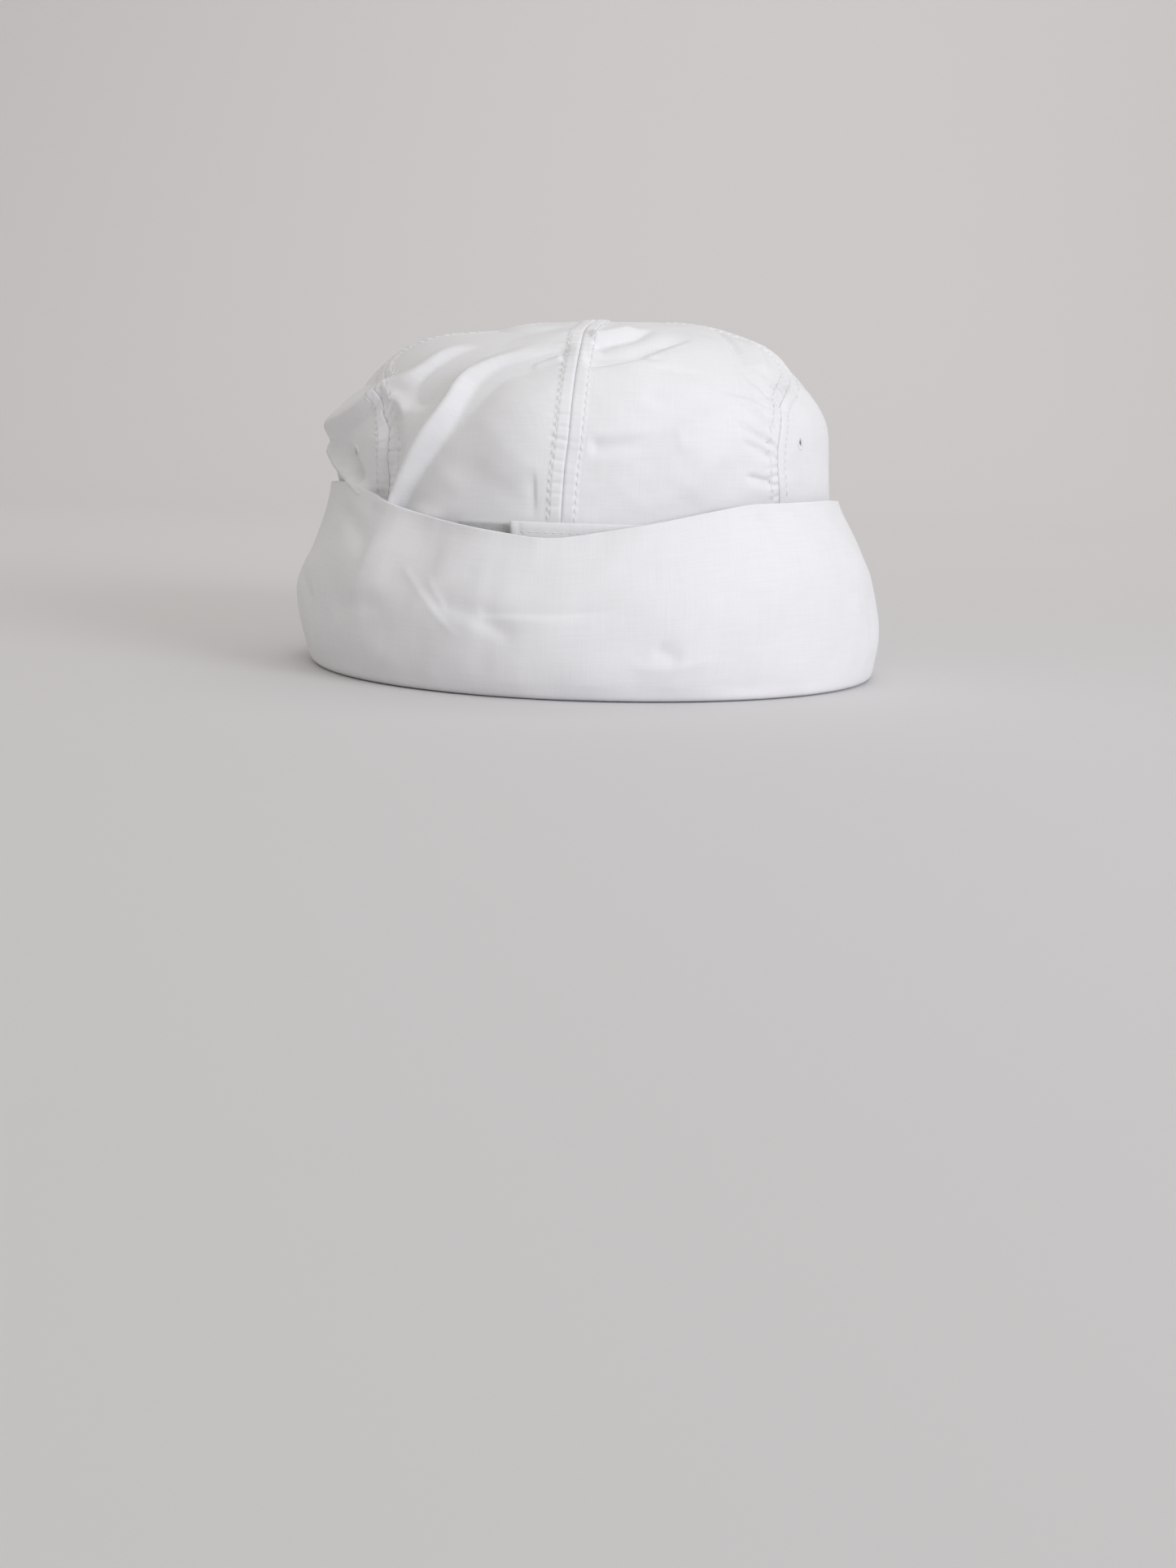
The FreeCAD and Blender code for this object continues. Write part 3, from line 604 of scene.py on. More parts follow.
WHITE = (0.82, 0.82, 0.835, 1.0)
crown_cotton = cotton("crown_cotton", WHITE)
CLOTH_THICKNESS = 0.45 * MM
EYELET_HOLE = 1.75 * MM
EYELETS = {"crown_side_right": (np.array(55.7), np.array(85.6)), "crown_side_left": (np.array(-58.5), np.array(77.0))}
PANELS = {
    "crown_back_right": ("rear", "rear_right"), "crown_side_right": ("rear_right", "front_right"),
    "crown_front_right": ("front_right", "front"), "crown_front_left": ("front", "front_left"),
    "crown_side_left": ("front_left", "rear_left"), "crown_back_left": ("rear_left", "rear"),
}


def panel_columns(count_edge, count_middle):
    """Where a panel's columns lie, from seam to seam: close together near the seams."""
    edge = np.linspace(0, 0.17, count_edge, endpoint=False)
    middle = np.linspace(0.17, 0.83, count_middle, endpoint=False)
    return np.concatenate([edge, middle, np.linspace(0.83, 1.0, count_edge + 1)])


def pierce(obj, centre, radius):
    """Takes out the cloth inside a small round hole."""
    shape = bmesh.new()
    shape.from_mesh(obj.data)
    inside = [face for face in shape.faces if (face.calc_center_median() - Vector(centre)).length < radius]
    bmesh.ops.delete(shape, geom=inside, context="FACES")
    shape.to_mesh(obj.data)
    shape.free()


def crown_rows():
    """The heights along the cloth of a panel's rows: close together where it folds most."""
    return np.concatenate([np.linspace(0, 48, 14, endpoint=False), np.linspace(48, 150, 210, endpoint=False),
                           np.linspace(150, 190, 62, endpoint=False), np.linspace(190, CLOTH_LENGTH - 0.4, 8)])


def crown_panel(node, first, second):
    """One crown panel, cut between two seams."""
    columns, rows = panel_columns(34, 40), crown_rows()
    share, up = np.meshgrid(columns, rows)
    start, end = seam_angle(first, up), seam_angle(second, up)
    end = np.where(end < start, end + 360, end)
    angle = start + share * (end - start)
    points = crown_point(angle, up)
    flat = np.stack([lateral(share * (end - start), up) * MM, up * MM], -1)
    panel = grid_mesh("panel_" + node.replace("crown_", ""), points, flat)
    if node in EYELETS:
        pierce(panel, crown_point(*EYELETS[node]), EYELET_HOLE)
    thicken(panel, CLOTH_THICKNESS)
    panel.data.materials.append(crown_cotton)
    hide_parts(node)
    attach(panel, "cover")


for node, (first, second) in PANELS.items():
    crown_panel(node, first, second)


# ---------------------------------------------------------------------------------------------------------
# The topstitching of the crown: a row of thread each side of every seam, sunk a little in the cloth.
def thread_row(points, normals, radius):
    """Stitches from arrays of their centre lines (stitch, ring, 3) and the cloth's normal at each point."""
    along = np.gradient(points, axis=1)
    along /= np.linalg.norm(along, axis=-1, keepdims=True)
    across = np.cross(along, normals)
    across /= np.linalg.norm(across, axis=-1, keepdims=True)
    up = np.cross(across, along)
    rings, sides = points.shape[1], 6
    taper = np.interp(np.linspace(0, 1, rings), (0, 0.12, 0.88, 1), (0.45, 1, 1, 0.45))
    turn = np.arange(sides) * 2 * math.pi / sides
    circle = (np.cos(turn)[None, None, :, None] * across[:, :, None, :] +
              np.sin(turn)[None, None, :, None] * up[:, :, None, :])
    verts = points[:, :, None, :] + circle * (radius * taper)[None, :, None, None]
    count = points.shape[0]
    index = np.arange(count * rings * sides).reshape(count, rings, sides)
    nexts = np.roll(index, -1, axis=2)
    quads = np.stack([index[:, :-1], index[:, 1:], nexts[:, 1:], nexts[:, :-1]], -1).reshape(-1, 4)
    caps = np.concatenate([index[:, 0, :], index[:, -1, ::-1]])
    return verts.reshape(-1, 3), quads.tolist() + caps.tolist()


def stitch_mesh(name, rows, radius):
    """One object from several rows of stitches, each a (points, normals) pair."""
    verts, faces = [], []
    for points, normals in rows:
        more, made = thread_row(points, normals, radius)
        faces += [[i + sum(len(v) for v in verts) for i in face] for face in made]
        verts.append(more)
    return add_mesh(name, np.concatenate(verts).tolist(), faces)


def pattern(nodes, links, kind, scale, **settings):
    """A texture on Object coordinates, with its settings."""
    where = nodes.new("ShaderNodeTexCoord")
    texture = nodes.new(kind)
    texture.inputs["Scale"].default_value = scale
    for setting, value in settings.items():
        texture.inputs[setting].default_value = value
    links.new(where.outputs["Object"], texture.inputs["Vector"])
    return texture


def thread(name, colour):
    """Spun sewing thread: matt, with fine fuzzy fibres."""
    material, nodes, links, shader = blank_finish(name, 0.6)
    shader.inputs["Base Color"].default_value = colour
    fibres = pattern(nodes, links, "ShaderNodeTexNoise", 4000.0)
    add_relief(nodes, links, fibres.outputs["Fac"], 0.4, 0.00005)
    return material


white_thread = thread("white_thread", (0.78, 0.78, 0.79, 1.0))


def seam_row(name, side):
    """The stitches of one row beside a crown seam."""
    heights, lengths = SEAM_LENGTHS[name]
    first = math.ceil(np.interp(42, heights, lengths) / STITCH_PITCH)
    last = int(np.interp(189, heights, lengths) / STITCH_PITCH)
    middles = (np.arange(first, last) + 0.5) * STITCH_PITCH
    ups = np.interp(middles[:, None] + np.linspace(-0.5, 0.5, 5)[None, :] * STITCH_LENGTH, lengths, heights)
    across, slope = seam_slope(name, ups)
    angle = seam_angle(name, ups) + side * ROW_OFFSET / np.sqrt(1 + slope ** 2) / across
    ups = ups - side * ROW_OFFSET * slope / np.sqrt(1 + slope ** 2)
    sink = np.array([-0.22, 0.05, 0.08, 0.05, -0.22])[None, :] * np.ones_like(ups)
    points = crown_point(angle, ups, -sink)
    outward = form_point(angle, ups, 0 * ups + 1.0) - form_point(angle, ups, 0 * ups)
    return points, outward / np.linalg.norm(outward, axis=-1, keepdims=True)


topstitch = stitch_mesh("crown_topstitch", [seam_row(name, side) for name in SEAMS for side in (-1, 1)],
                        THREAD_RADIUS * MM)
topstitch.data.materials.append(white_thread)
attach(topstitch, "cover")


# ---------------------------------------------------------------------------------------------------------
# The two eyelets: a ring of close radial stitches round a small hole in each side panel, by its rear seam.
def eyelet(name, node, at):
    """A ring of close stitches that stands on the cloth round its hole."""
    angle, up = at
    centre = crown_point(angle, up)
    to_right = crown_point(angle + 0.6, up) - crown_point(angle - 0.6, up)
    to_top = crown_point(angle, up + 1.0) - crown_point(angle, up - 1.0)
    outward = np.cross(to_right, to_top)
    outward /= np.linalg.norm(outward)
    to_right /= np.linalg.norm(to_right)
    to_top = np.cross(outward, to_right)
    around, section = 132, 16
    verts = []
    for i in range(around):
        turn = 2 * math.pi * i / around
        ridge = 0.11 * math.cos(22 * turn)
        for k in range(section):
            lean = 2 * math.pi * k / section
            out = (1.95 + (0.85 + 0.5 * ridge) * math.cos(lean)) * MM
            rise = (-0.25 + (0.62 + ridge) * math.sin(lean)) * MM
            verts.append(centre + out * (math.cos(turn) * to_right + math.sin(turn) * to_top) + rise * outward)
    faces = []
    for i in range(around):
        j = (i + 1) % around
        for k in range(section):
            m = (k + 1) % section
            faces.append((i * section + k, j * section + k, j * section + m, i * section + m))
    obj = add_mesh(name, [tuple(v) for v in verts], faces)
    obj.data.materials.append(white_thread)
    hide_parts(node)
    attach(obj, "cover")


eyelet("sewn_eyelet_right", "eyelet_right", EYELETS["crown_side_right"])
eyelet("sewn_eyelet_left", "eyelet_left", EYELETS["crown_side_left"])


# ---------------------------------------------------------------------------------------------------------
# The seam tapes: white twill tape that covers every seam inside the crown.
TAPE_HALF, TAPE_THICKNESS = 6.0, 0.5 * MM
tape_cotton = cotton("tape_cotton", (0.74, 0.74, 0.745, 1.0), thread=0.0008, bump=0.00015, slub=0.03)


def tape_strip(name, start, end):
    """The grid of one tape under a seam, with its cloth map."""
    ups, offsets = np.meshgrid(np.linspace(start, end, 110), np.linspace(-TAPE_HALF, TAPE_HALF, 9), indexing="ij")
    radius = np.maximum(profile(ups)[0], 4.0)
    turn = np.radians(seam_angle(name, ups))
    across = np.hypot(radius * np.cos(turn), radius * STRETCH * np.sin(turn))
    angle = seam_angle(name, ups) + np.degrees(offsets / across)
    points = crown_point(angle, ups, CLOTH_THICKNESS / MM + 0.12)
    return points, np.stack([offsets * MM, ups * MM], -1)


def seam_tape(name, node, *strips):
    """One tape piece, from one strip or several that cross."""
    parts = [grid_mesh(f"{name}_{k}", *tape_strip(*strip)) for k, strip in enumerate(strips)]
    if len(parts) > 1:
        only(parts[0])
        for part in parts[1:]:
            part.select_set(True)
        bpy.ops.object.join()
    tape = parts[0]
    tape.name = tape.data.name = name
    thicken(tape, TAPE_THICKNESS)
    tape.data.materials.append(tape_cotton)
    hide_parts(node)
    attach(tape, "cover")


seam_tape("tape_centre", "seam_tape_centre", ("rear", 36, 194), ("front", 36, 194))
for place, seam in (("back_right", "rear_right"), ("front_right", "front_right"), ("front_left", "front_left"),
                    ("back_left", "rear_left")):
    seam_tape("tape_" + place, "seam_tape_" + place, (seam, 36, 188))


# ---------------------------------------------------------------------------------------------------------
# The cuff: a deep doubled band of the same cotton, turned up all round.  It stands on its lower fold, its
# upper edge dips at the rear, and its two plies are one cloth folded over at the top.
CUFF_TOP = (  # direction, height of the cuff's upper edge there
    (-180, 64.5), (-150, 66), (-120, 65), (-90, 66), (-75, 67), (-60, 68), (-51, 65), (-40.6, 60.6), (-32, 58),
    (-24.6, 56.5), (-15, 54.6), (-6.5, 53), (1, 55), (7, 57), (15, 59.6), (23.5, 62.6), (33, 65.4), (36.6, 66.1),
    (41, 66.0), (47, 66.3), (62.6, 66.6), (90, 65), (110, 64), (135, 65.5), (160, 63.5), (180, 64.5),
)
CUFF_FACES = {  # direction: how far the outer ply stands off the crown, as (share of the height, millimetres)
    -90: ((0, 9.0), (0.08, 11.2), (0.22, 14.3), (0.38, 15.2), (0.5, 14.3), (0.64, 9.7), (0.79, 5.2), (0.88, 3.8),
          (1, 2.2)),
    0: ((0, 7.5), (0.06, 9.8), (0.19, 12.8), (0.46, 15.6), (0.65, 15.0), (0.83, 12.5), (1, 8.5)),
    90: ((0, 19.0), (0.12, 20.0), (0.26, 20.4), (0.45, 19.0), (0.64, 16.0), (0.82, 9.6), (0.93, 4.6), (1, 2.0)),
    180: ((0, 10.5), (0.1, 13.0), (0.3, 16.5), (0.5, 17.2), (0.7, 15.0), (0.88, 9.5), (1, 6.0)),
}
CUFF_RADIUS = 106.0  # the cuff's cloth is laid out round a circle of this size
CUFF_CLEAR = 0.42  # the lower fold stands this far off the table


def wrapped_interp(value, table):
    """A table looked up by direction all the way round, a little rounded off."""
    xs, ys = zip(*table)
    step = 3.0
    return sum(np.interp((value + shift + 180) % 360 - 180, xs, ys) for shift in (-step, 0, step)) / 3


def cuff_offset(angle, share):
    """How far the outer ply stands off the crown's wall at a direction and a share of its height."""
    turn = np.radians(angle)
    total, weights = np.zeros_like(share), np.zeros_like(share)
    for direction, table in CUFF_FACES.items():
        weight = np.maximum(np.cos(turn - math.radians(direction)), 0) ** 2
        total += weight * eased(share, table, 0.07)
        weights += weight
    hug = np.exp(-(((angle + 180) % 360 - 180 + 36) / 14) ** 2) * smooth_step(share, 0.5, 1.0)
    return total / weights - 4.6 * hug


CUFF_CREASES = (  # (direction, height) points, then depth, spread to each side, ends and sharpness
    ([(-36, 42), (-33.5, 39), (-29, 32), (-25.6, 26), (-23.6, 23), (-20, 18)], 0.34, 0.9, 1.5, (0.2, 0.3), 1.5),
    ([(-30, 42), (-27.5, 35.5), (-25.5, 31), (-24, 26)], 0.28, 0.9, 1.3, (0.3, 0.3), 1.5),
    ([(-29, 36), (-26, 31), (-19, 28), (-13.5, 23), (-10, 20)], -1.1, 4.6, 3.2, (0.35, 0.35), 1.9),
    ([(-44, 66), (-43, 52), (-45, 34), (-52, 12)], 1.8, 12.0, 7.0, (0.1, 0.3)),
    ([(-58, 20), (-46, 14), (-34, 9)], 1.0, 6.0, 5.0, (0.3, 0.3)),
    ([(-18, 27.5), (-16, 28.4), (-10, 29), (-4, 29), (2, 30), (9, 31.5)], -0.5, 2.6, 1.0, (0.2, 0.3), 1.6),
    ([(-18, 25.5), (-10, 26.6), (-4, 26.6), (4, 27.8)], 0.3, 1.8, 2.4, (0.3, 0.4), 1.8),
    ([(-55, 22), (-51, 26), (-44, 28), (-36, 28)], -1.5, 6.0, 4.0, (0.3, 0.3)),
    ([(-64, 40), (-52, 44), (-40, 46), (-28, 44)], 1.2, 6.0, 7.0, (0.3, 0.3)),
    ([(13, 20), (16, 17), (19, 14)], -0.9, 3.0, 3.0, (0.3, 0.3)),
    ([(8, 14), (13, 12), (20, 13), (26, 17)], 0.5, 2.0, 2.4, (0.3, 0.3)),
    ([(-50, 60), (-46, 64.5), (-42, 67)], 0.8, 1.2, 1.6, (0.3, 0.2), 1.6),
    ([(-70, 60), (-60, 57), (-50, 50), (-44, 42)], -1.1, 4.0, 3.0, (0.3, 0.3)),
    ([(-80, 34), (-70, 30), (-62, 20)], -1.2, 4.0, 4.0, (0.3, 0.3)),
    ([(36, 62), (38, 56), (37, 48)], -0.7, 2.4, 2.4, (0.1, 0.5)),
    ([(58, 34), (66, 22), (70, 8)], 0.8, 5.0, 5.0, (0.3, 0.2)),
    ([(76, 14), (79, 7), (81, 0)], -1.4, 2.0, 1.6, (0.3, 0.02), 1.6),
)
CUFF_SWAYS = ((100, 5, 1.0), (122, -6, -1.1), (147, 7, 1.1), (171, -5, -0.9), (-162, 6, 1.0), (-138, -6, -1.2),
              (-112, 5, 1.1))  # soft folds round the sides and front: direction, sway, depth


def cuff_relief(angle, height, place):
    """How far the cuff's cloth stands off its plain form, in millimetres."""
    x, y = np.radians((angle + 180) % 360 - 180) * CUFF_RADIUS, height

    def crease(points, *shape):
        return fold_along(x, y, curve_through([(math.radians(a) * CUFF_RADIUS, h) for a, h in points], 24), *shape)

    out = 0 * x
    for points, *shape in CUFF_CREASES:
        out += crease(points, *shape)
    for start, sway, depth in CUFF_SWAYS:
        line = [(start, 54), (start + sway, 36), (start + 1.6 * sway, 20), (start + 2.6 * sway, 6)]
        out += crease(line, 0.6 * depth, 6.0, 3.6, (0.4, 0.35), 1.8)
    out += 0.6 * soft_waves(place, 21, 75) + 0.3 * soft_waves(place, 22, 26) + 0.09 * soft_waves(place, 23, 10)
    return out


def cuff_section():
    """The path of the cloth, from the crown's foot seam, round the lower fold, up, over and down inside.

    Each step is (the part of the path, the share of the way along that part).
    """
    under = [("under", t) for t in np.linspace(0, 1, 8, endpoint=False)]
    outer = [("outer", t) for t in np.linspace(0, 1, 76)]
    roll = [("roll", t) for t in np.linspace(0, 1, 9)[1:-1]]
    inner = [("inner", t) for t in np.linspace(1, 0.03, 26)]
    return under + outer + roll + inner


def cuff_point(angle, top, kind, t):
    """A column of points at one step of the section, as (offset from the crown's wall, height)."""
    if kind == "under":
        reach = cuff_offset(angle, 0 * angle)
        return -0.4 + t * (reach - 1.2 + 0.4), 0.75 - 0.35 * t + 0 * angle
    if kind == "outer":
        share = t + 0 * angle
        height = np.maximum(share * top, 0.0)
        rise = CUFF_CLEAR + height
        out = cuff_offset(angle, share)
        tuck = 1.4 * np.exp(-height / 0.9)
        return out - tuck, rise
    if kind == "roll":
        out = cuff_offset(angle, 0 * angle + 1.0)
        lean = math.pi * t
        return out - 0.62 + 0.62 * math.cos(lean), CUFF_CLEAR + top + 0.75 * math.sin(lean)
    share = t + 0 * angle
    out = cuff_offset(angle, share)
    gap = 1.24 + 0.8 * np.sin(np.pi * share)
    return np.maximum(out - gap, 1.0), CUFF_CLEAR + share * top


def cuff():
    """The whole cuff as one closed ring of cloth."""
    rear = np.linspace(-78, 78, 285, endpoint=False)
    rest = np.linspace(78, 282, 150, endpoint=False)
    angles = np.concatenate([rear, rest])
    top = wrapped_interp(angles, CUFF_TOP) - 1.2
    rows, lengths = [], []
    for kind, t in cuff_section():
        out, height = cuff_point(angles, top, kind, t)
        wall = HALF_WIDTH + out
        turn = np.radians(angles)
        base = np.stack([wall * np.sin(turn), -(HALF_WIDTH * STRETCH + out) * np.cos(turn), height], -1) * MM
        spread = {"under": 0.0, "outer": 1.0, "roll": 1.0, "inner": 0.75}[kind]
        fade = spread * smooth_step(height, 0.2, 6.0)
        relief = cuff_relief(angles, height, base) * fade
        if kind == "inner":
            relief = np.minimum(relief, 0.6) * smooth_step(height, 4, 16)
        outward = np.stack([np.sin(turn), -np.cos(turn), 0 * turn], -1)
        rows.append(base + outward * relief[:, None] * MM)
    points = np.array(rows)
    points = np.concatenate([points, points[:, :1]], axis=1)
    step = np.linalg.norm(np.diff(points, axis=0), axis=-1).mean(axis=1)
    down = np.concatenate([[0], np.cumsum(step)])
    round_length = np.concatenate([[0], np.cumsum(np.diff(np.concatenate([angles, [282.0]])))])
    flat = np.stack(np.meshgrid(np.radians(round_length) * CUFF_RADIUS * MM, down), -1)
    band = grid_mesh("cuff_band", points, flat)
    face_outward(band, weld=0.000005)
    thicken(band, CLOTH_THICKNESS)
    band.data.materials.append(crown_cotton)
    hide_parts("cuff_face", "cuff_facing")
    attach(band, "cover")


cuff()


# ---------------------------------------------------------------------------------------------------------
# The size strap: a doubled, edge-stitched strip of the same cotton, whose free end laps over on its loops.
strap_low, strap_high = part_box("adjuster_strap")
STRAP_AXIS_Y = -19.02
STRAP_OUTER = -strap_low[1] / MM + STRAP_AXIS_Y
STRAP_THICKNESS = 1.4
STRAP_FOOT, STRAP_TOP = strap_low[2] / MM, strap_high[2] / MM - 2.2
STRAP_FIRST, STRAP_LAST = -16.0, 32.0
STRAP_INSET, STRAP_PITCH, STRAP_STITCH = 3.4, 2.6, 2.0  # the stitch rows lie this far in from the edges


def strap_place(angle, z, out):
    """Points in metres at a direction round the strap's own circle, and out millimetres off its outer face."""
    turn = np.radians(angle)
    radius = STRAP_OUTER + out
    return np.stack([radius * np.sin(turn), STRAP_AXIS_Y - radius * np.cos(turn), z], -1) * MM


def strap_edge(z_share):
    """The slanted free end: its direction for each share of the strap's width."""
    return STRAP_FIRST + 1.5 * (1 - z_share)


def strap_bump(angle, z):
    """The relief of the strap's outer face: its sunk stitch rows and slight waves."""
    low, high = z - STRAP_FOOT, STRAP_TOP - z
    end = (angle - strap_edge((z - STRAP_FOOT) / (STRAP_TOP - STRAP_FOOT))) * math.radians(1) * STRAP_OUTER
    rows = sum(np.exp(-((away - STRAP_INSET) / 0.6) ** 2) for away in (low, high, end))
    place = strap_place(angle, z, 0 * z)
    return -0.22 * rows - 0.06 + 0.05 * soft_waves(place, 31, 7)


def strap():
    """The doubled strip, with rounded edges and a slanted free end."""
    sections, points_round = 120, 40
    shares = np.linspace(0, 1, sections)
    verts = []
    for share in shares:
        ring_points = []
        for k in range(points_round):
            turn = 2 * math.pi * k / points_round
            across, through = math.cos(turn), math.sin(turn)
            z_share = 0.5 + 0.5 * math.copysign(abs(across) ** 0.35, across)
            depth = 0.5 + 0.5 * math.copysign(abs(through) ** 0.55, through)
            z = STRAP_FOOT + z_share * (STRAP_TOP - STRAP_FOOT)
            first = strap_edge(z_share)
            angle = first + share * (STRAP_LAST - first)
            near_end = min(share, 1 - share) * (STRAP_LAST - STRAP_FIRST) * math.radians(1) * STRAP_OUTER
            squeeze = min(1.0, math.sqrt(max(near_end, 0.02) / 0.8))
            out = -STRAP_THICKNESS / 2 + (depth - 0.5) * STRAP_THICKNESS * squeeze
            ring_points.append((angle, z, out, depth))
        verts.append(ring_points)
    grid = np.array(verts)
    relief = strap_bump(grid[..., 0], grid[..., 1]) * smooth_step(grid[..., 3], 0.6, 1.0)
    points = strap_place(grid[..., 0], grid[..., 1], grid[..., 2] + relief)
    index = np.arange(sections * points_round).reshape(sections, points_round)
    nexts = np.roll(index, -1, axis=1)
    faces = np.stack([index[:-1], nexts[:-1], nexts[1:], index[1:]], -1).reshape(-1, 4).tolist()
    faces += [index[0, ::-1].tolist(), index[-1].tolist()]
    obj = add_mesh("strap_strip", points.reshape(-1, 3).tolist(), faces)
    layer = obj.data.uv_layers.new(name="cloth")
    flat = np.stack([np.radians(grid[..., 0]) * STRAP_OUTER * MM, grid[..., 1] * MM], -1).reshape(-1, 2)
    corners = [i for face in obj.data.polygons for i in face.vertices]
    layer.data.foreach_set("uv", flat[corners].astype(np.float32).reshape(-1))
    obj.data.materials.append(crown_cotton)
    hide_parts("adjuster_strap")
    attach(obj, "strap")


def strap_row(z_from, a_from, z_to, a_to):
    """A row of stitches between two points of the strap's outer face."""
    length = math.hypot(z_to - z_from, math.radians(a_to - a_from) * STRAP_OUTER)
    count = int(length / STRAP_PITCH)
    mid = (np.arange(count) + 0.5) / count
    t = mid[:, None] + np.linspace(-0.5, 0.5, 5)[None, :] * STRAP_STITCH / length
    angle, z = a_from + t * (a_to - a_from), z_from + t * (z_to - z_from)
    sink = np.array([-0.2, 0.05, 0.08, 0.05, -0.2])[None, :] * np.ones_like(t)
    points = strap_place(angle, z, strap_bump(angle, z) + sink)
    normals = strap_place(angle, z, 0 * z + 1.0) - strap_place(angle, z, 0 * z)
    return points, normals / np.linalg.norm(normals, axis=-1, keepdims=True)


strap()
end_step = math.degrees(STRAP_INSET / STRAP_OUTER)
row_foot, row_top, row_end = STRAP_FOOT + STRAP_INSET, STRAP_TOP - STRAP_INSET, STRAP_FIRST + end_step
strap_stitches = stitch_mesh("strap_topstitch", [
    strap_row(row_top, row_end, row_top, STRAP_LAST - 0.5),
    strap_row(row_foot, STRAP_FIRST + 1.3 + end_step, row_foot, STRAP_LAST - 0.5),
    strap_row(row_foot, STRAP_FIRST + 1.3 + end_step, row_top, STRAP_FIRST + 0.2 + end_step),
], 0.16 * MM)
strap_stitches.data.materials.append(white_thread)
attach(strap_stitches, "strap")


# ---------------------------------------------------------------------------------------------------------
# The sweatband: a soft padded band of towelling round the inside of the foot, gathered a little as it is sewn.
band_low, band_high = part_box("sweatband")
BAND_OUTER, BAND_FOOT, BAND_TOP = band_high[0] / MM, band_low[2] / MM, band_high[2] / MM
BAND_ROW = 3.6  # the two rows that sew it down lie this far in from its edges


def tinted(colour, share):
    """A colour made darker or lighter by a share."""
    return tuple(share * c for c in colour[:3]) + (1.0,)


def two_tone(nodes, links, factor, first, second):
    """Colours a finish between two colours by a factor."""
    shade = nodes.new("ShaderNodeMix")
    shade.data_type = "RGBA"
    shade.inputs[6].default_value = first
    shade.inputs[7].default_value = second
    links.new(factor, shade.inputs["Factor"])
    links.new(shade.outputs[2], nodes["Principled BSDF"].inputs["Base Color"])


def towelling(name, colour):
    """Looped towelling: small close tufts with a soft sheen, and painted shade in the gaps between them."""
    material, nodes, links, shader = blank_finish(name, 1.0)
    shader.inputs["Sheen Weight"].default_value = 0.25
    tufts = pattern(nodes, links, "ShaderNodeTexVoronoi", 1300.0).outputs["Distance"]
    # painted shade: the gaps between the tufts, which the relief below sinks, are coloured darker
    two_tone(nodes, links, tufts, colour, tinted(colour, 0.72))
    add_relief(nodes, links, tufts, 0.8, 0.0004, sunk=True)
    return material


def sweatband():
    """The padded roll inside the foot."""
    columns, points_round = 360, 44
    angles = np.linspace(0, 360, columns, endpoint=False)
    turn = np.linspace(0, 2 * math.pi, points_round, endpoint=False)
    angle, lean = np.meshgrid(angles, turn, indexing="ij")
    z_share = 0.5 + 0.5 * np.sign(np.sin(lean)) * np.abs(np.sin(lean)) ** 0.45
    depth = 0.5 + 0.5 * np.sign(np.cos(lean)) * np.abs(np.cos(lean)) ** 0.6
    z = BAND_FOOT + z_share * (BAND_TOP - BAND_FOOT)
    round_turn = np.radians(angle)
    place = np.stack([BAND_OUTER * np.sin(round_turn), -BAND_OUTER * STRETCH * np.cos(round_turn), z], -1) * MM
    rows = np.exp(-((z - BAND_TOP + BAND_ROW) / 0.9) ** 2) + np.exp(-((z - BAND_FOOT - BAND_ROW) / 0.9) ** 2)
    at_edges = np.exp(-((np.abs(z_share - 0.5) - 0.36) / 0.12) ** 2)
    gathers = 0.16 * np.sin(round_turn * 96 + 2.0 * soft_waves(place, 41, 30)) * at_edges
    inward = -3.0 + 1.1 * rows + gathers + 0.18 * soft_waves(place, 42, 24)
    out = inward * (1 - depth)
    side, rear = BAND_OUTER - 0.15 + out, BAND_OUTER * STRETCH - 0.15 + out
    points = np.stack([side * np.sin(round_turn), -rear * np.cos(round_turn), z], -1) * MM
    index = np.arange(columns * points_round).reshape(columns, points_round)
    ahead = np.roll(index, -1, axis=0)
    quads = np.stack([index, ahead, np.roll(ahead, -1, axis=1), np.roll(index, -1, axis=1)], -1).reshape(-1, 4)
    obj = add_mesh("sweatband_roll", points.reshape(-1, 3).tolist(), quads.tolist())
    face_outward(obj)
    obj.data.materials.append(towelling("sweatband_towelling", (0.70, 0.70, 0.71, 1.0)))
    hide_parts("sweatband")
    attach(obj, "cover")


sweatband()


# ---------------------------------------------------------------------------------------------------------
# The foam pads inside the shell: die-cut closed-cell foam whose edges have rounded off in use.
def foam(name, colour):
    """Closed-cell foam: fine cells, and slow changes of tone."""
    material, nodes, links, _ = blank_finish(name, 0.95)
    cells = pattern(nodes, links, "ShaderNodeTexVoronoi", 1500.0)
    broad = pattern(nodes, links, "ShaderNodeTexNoise", 120.0)
    two_tone(nodes, links, broad.outputs["Fac"], colour, tinted(colour, 1.7))
    add_relief(nodes, links, cells.outputs["Distance"], 0.5, 0.0002)
    return material


pad_foam = foam("pad_foam", (0.035, 0.036, 0.04, 1.0))


def rounded_copy(name, node, cell, passes):
    """A copy of a CAD node's solid with soft, rounded edges."""
    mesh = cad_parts[node].data.copy()
    mesh.name = name
    mesh.materials.clear()
    obj = bpy.data.objects.new(name, mesh)
    bpy.context.scene.collection.objects.link(obj)
    only(obj)
    remesh = obj.modifiers.new("remesh", "REMESH")
    remesh.mode = "VOXEL"
    remesh.voxel_size = cell
    smooth = obj.modifiers.new("smooth", "SMOOTH")
    smooth.iterations = passes
    smooth.factor = 0.5
    for modifier in (remesh, smooth):
        bpy.ops.object.modifier_apply(modifier=modifier.name)
    bpy.ops.object.shade_smooth()
    return obj


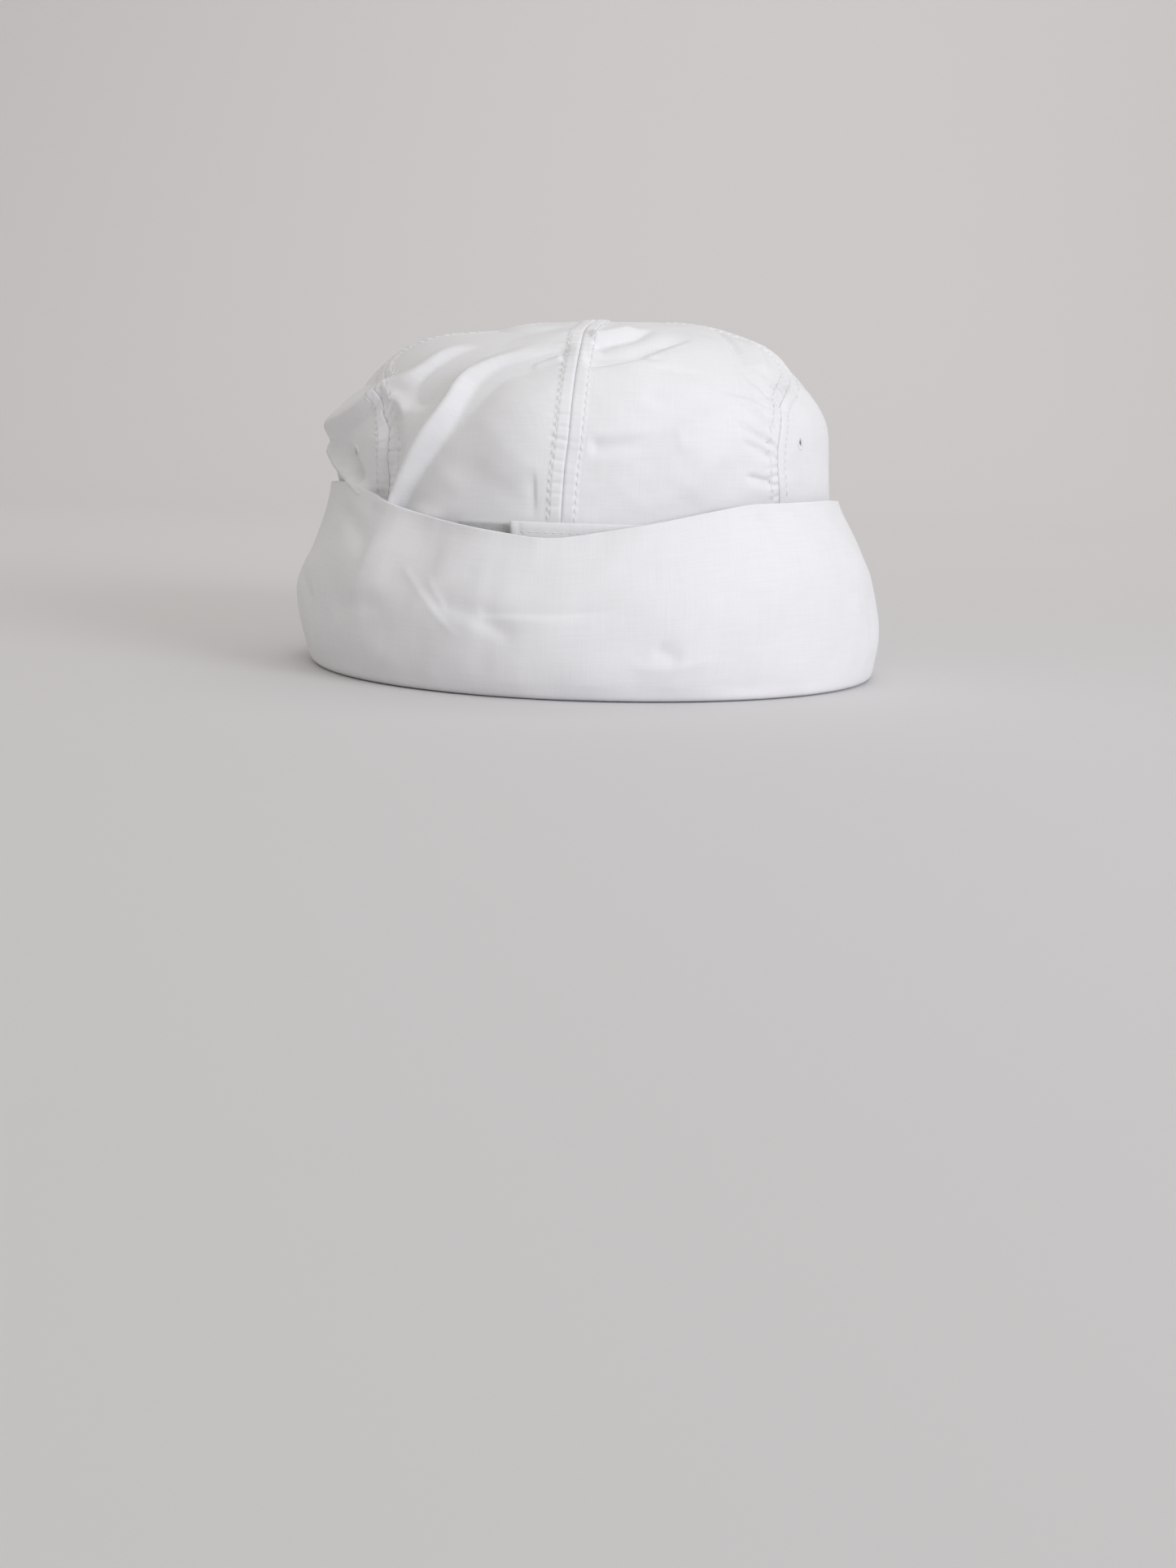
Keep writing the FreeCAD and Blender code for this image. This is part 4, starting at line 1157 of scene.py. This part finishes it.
for node in ("crown_pad", "pad_right", "pad_front", "pad_left", "pad_back"):
    pad = rounded_copy("foam_" + node, node, 0.9 * MM, 6)
    pad.data.materials.append(pad_foam)
    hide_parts(node)
    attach(pad, "insert")


# ---------------------------------------------------------------------------------------------------------
# Loop fastener: the tape across the rear of the crown and the four dots under its top, in brushed loops.
def loops(name, colour):
    """Brushed loops: tangled pile with a soft sheen, and painted shade in its low parts."""
    material, nodes, links, shader = blank_finish(name, 1.0)
    shader.inputs["Sheen Weight"].default_value = 0.4
    pile = pattern(nodes, links, "ShaderNodeTexNoise", 1800.0, Detail=3.0, Distortion=2.0).outputs["Fac"]
    # painted shade: the low parts of the pile, by the relief below, are coloured darker
    two_tone(nodes, links, pile, tinted(colour, 0.7), colour)
    add_relief(nodes, links, pile, 0.9, 0.0004)
    return material


loop_pile = loops("loop_pile", (0.74, 0.74, 0.75, 1.0))
for node, cell in (("strap_loop_tape", 0.42), ("cover_loop_dots", 0.34)):
    pile = rounded_copy("pile_" + node, node, cell * MM, 2)
    pile.data.materials.append(loop_pile)
    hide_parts(node)
    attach(pile, "cover")


# ---------------------------------------------------------------------------------------------------------
# The rigid pieces, kept as the CAD has them: the moulded shell, its rubber edge and the hook side of the
# fasteners.
def moulded(name, colour, roughness, grain, depth):
    """Moulded plastic or rubber: a fine grain, and slow changes of tone."""
    material, nodes, links, _ = blank_finish(name, roughness)
    fine = pattern(nodes, links, "ShaderNodeTexNoise", grain, Detail=4.0)
    broad = pattern(nodes, links, "ShaderNodeTexNoise", 30.0)
    two_tone(nodes, links, broad.outputs["Fac"], colour, tinted(colour, 1.5))
    add_relief(nodes, links, fine.outputs["Fac"], 0.35, depth)
    return material


def finish_node(node, material):
    """Gives a CAD node its finish."""
    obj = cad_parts[node]
    obj.data.materials.clear()
    obj.data.materials.append(material)


shell_plastic = moulded("shell_plastic", (0.018, 0.018, 0.02, 1.0), 0.42, 900.0, 0.0001)
finish_node("protective_shell", shell_plastic)
trim_rubber = moulded("trim_rubber", (0.012, 0.012, 0.012, 1.0), 0.7, 500.0, 0.00008)
finish_node("edge_trim", trim_rubber)
hook_nylon = moulded("hook_nylon", (0.62, 0.62, 0.63, 1.0), 0.5, 1600.0, 0.0006)
for node in ("strap_hook_tape", "insert_hook_dots"):
    finish_node(node, hook_nylon)
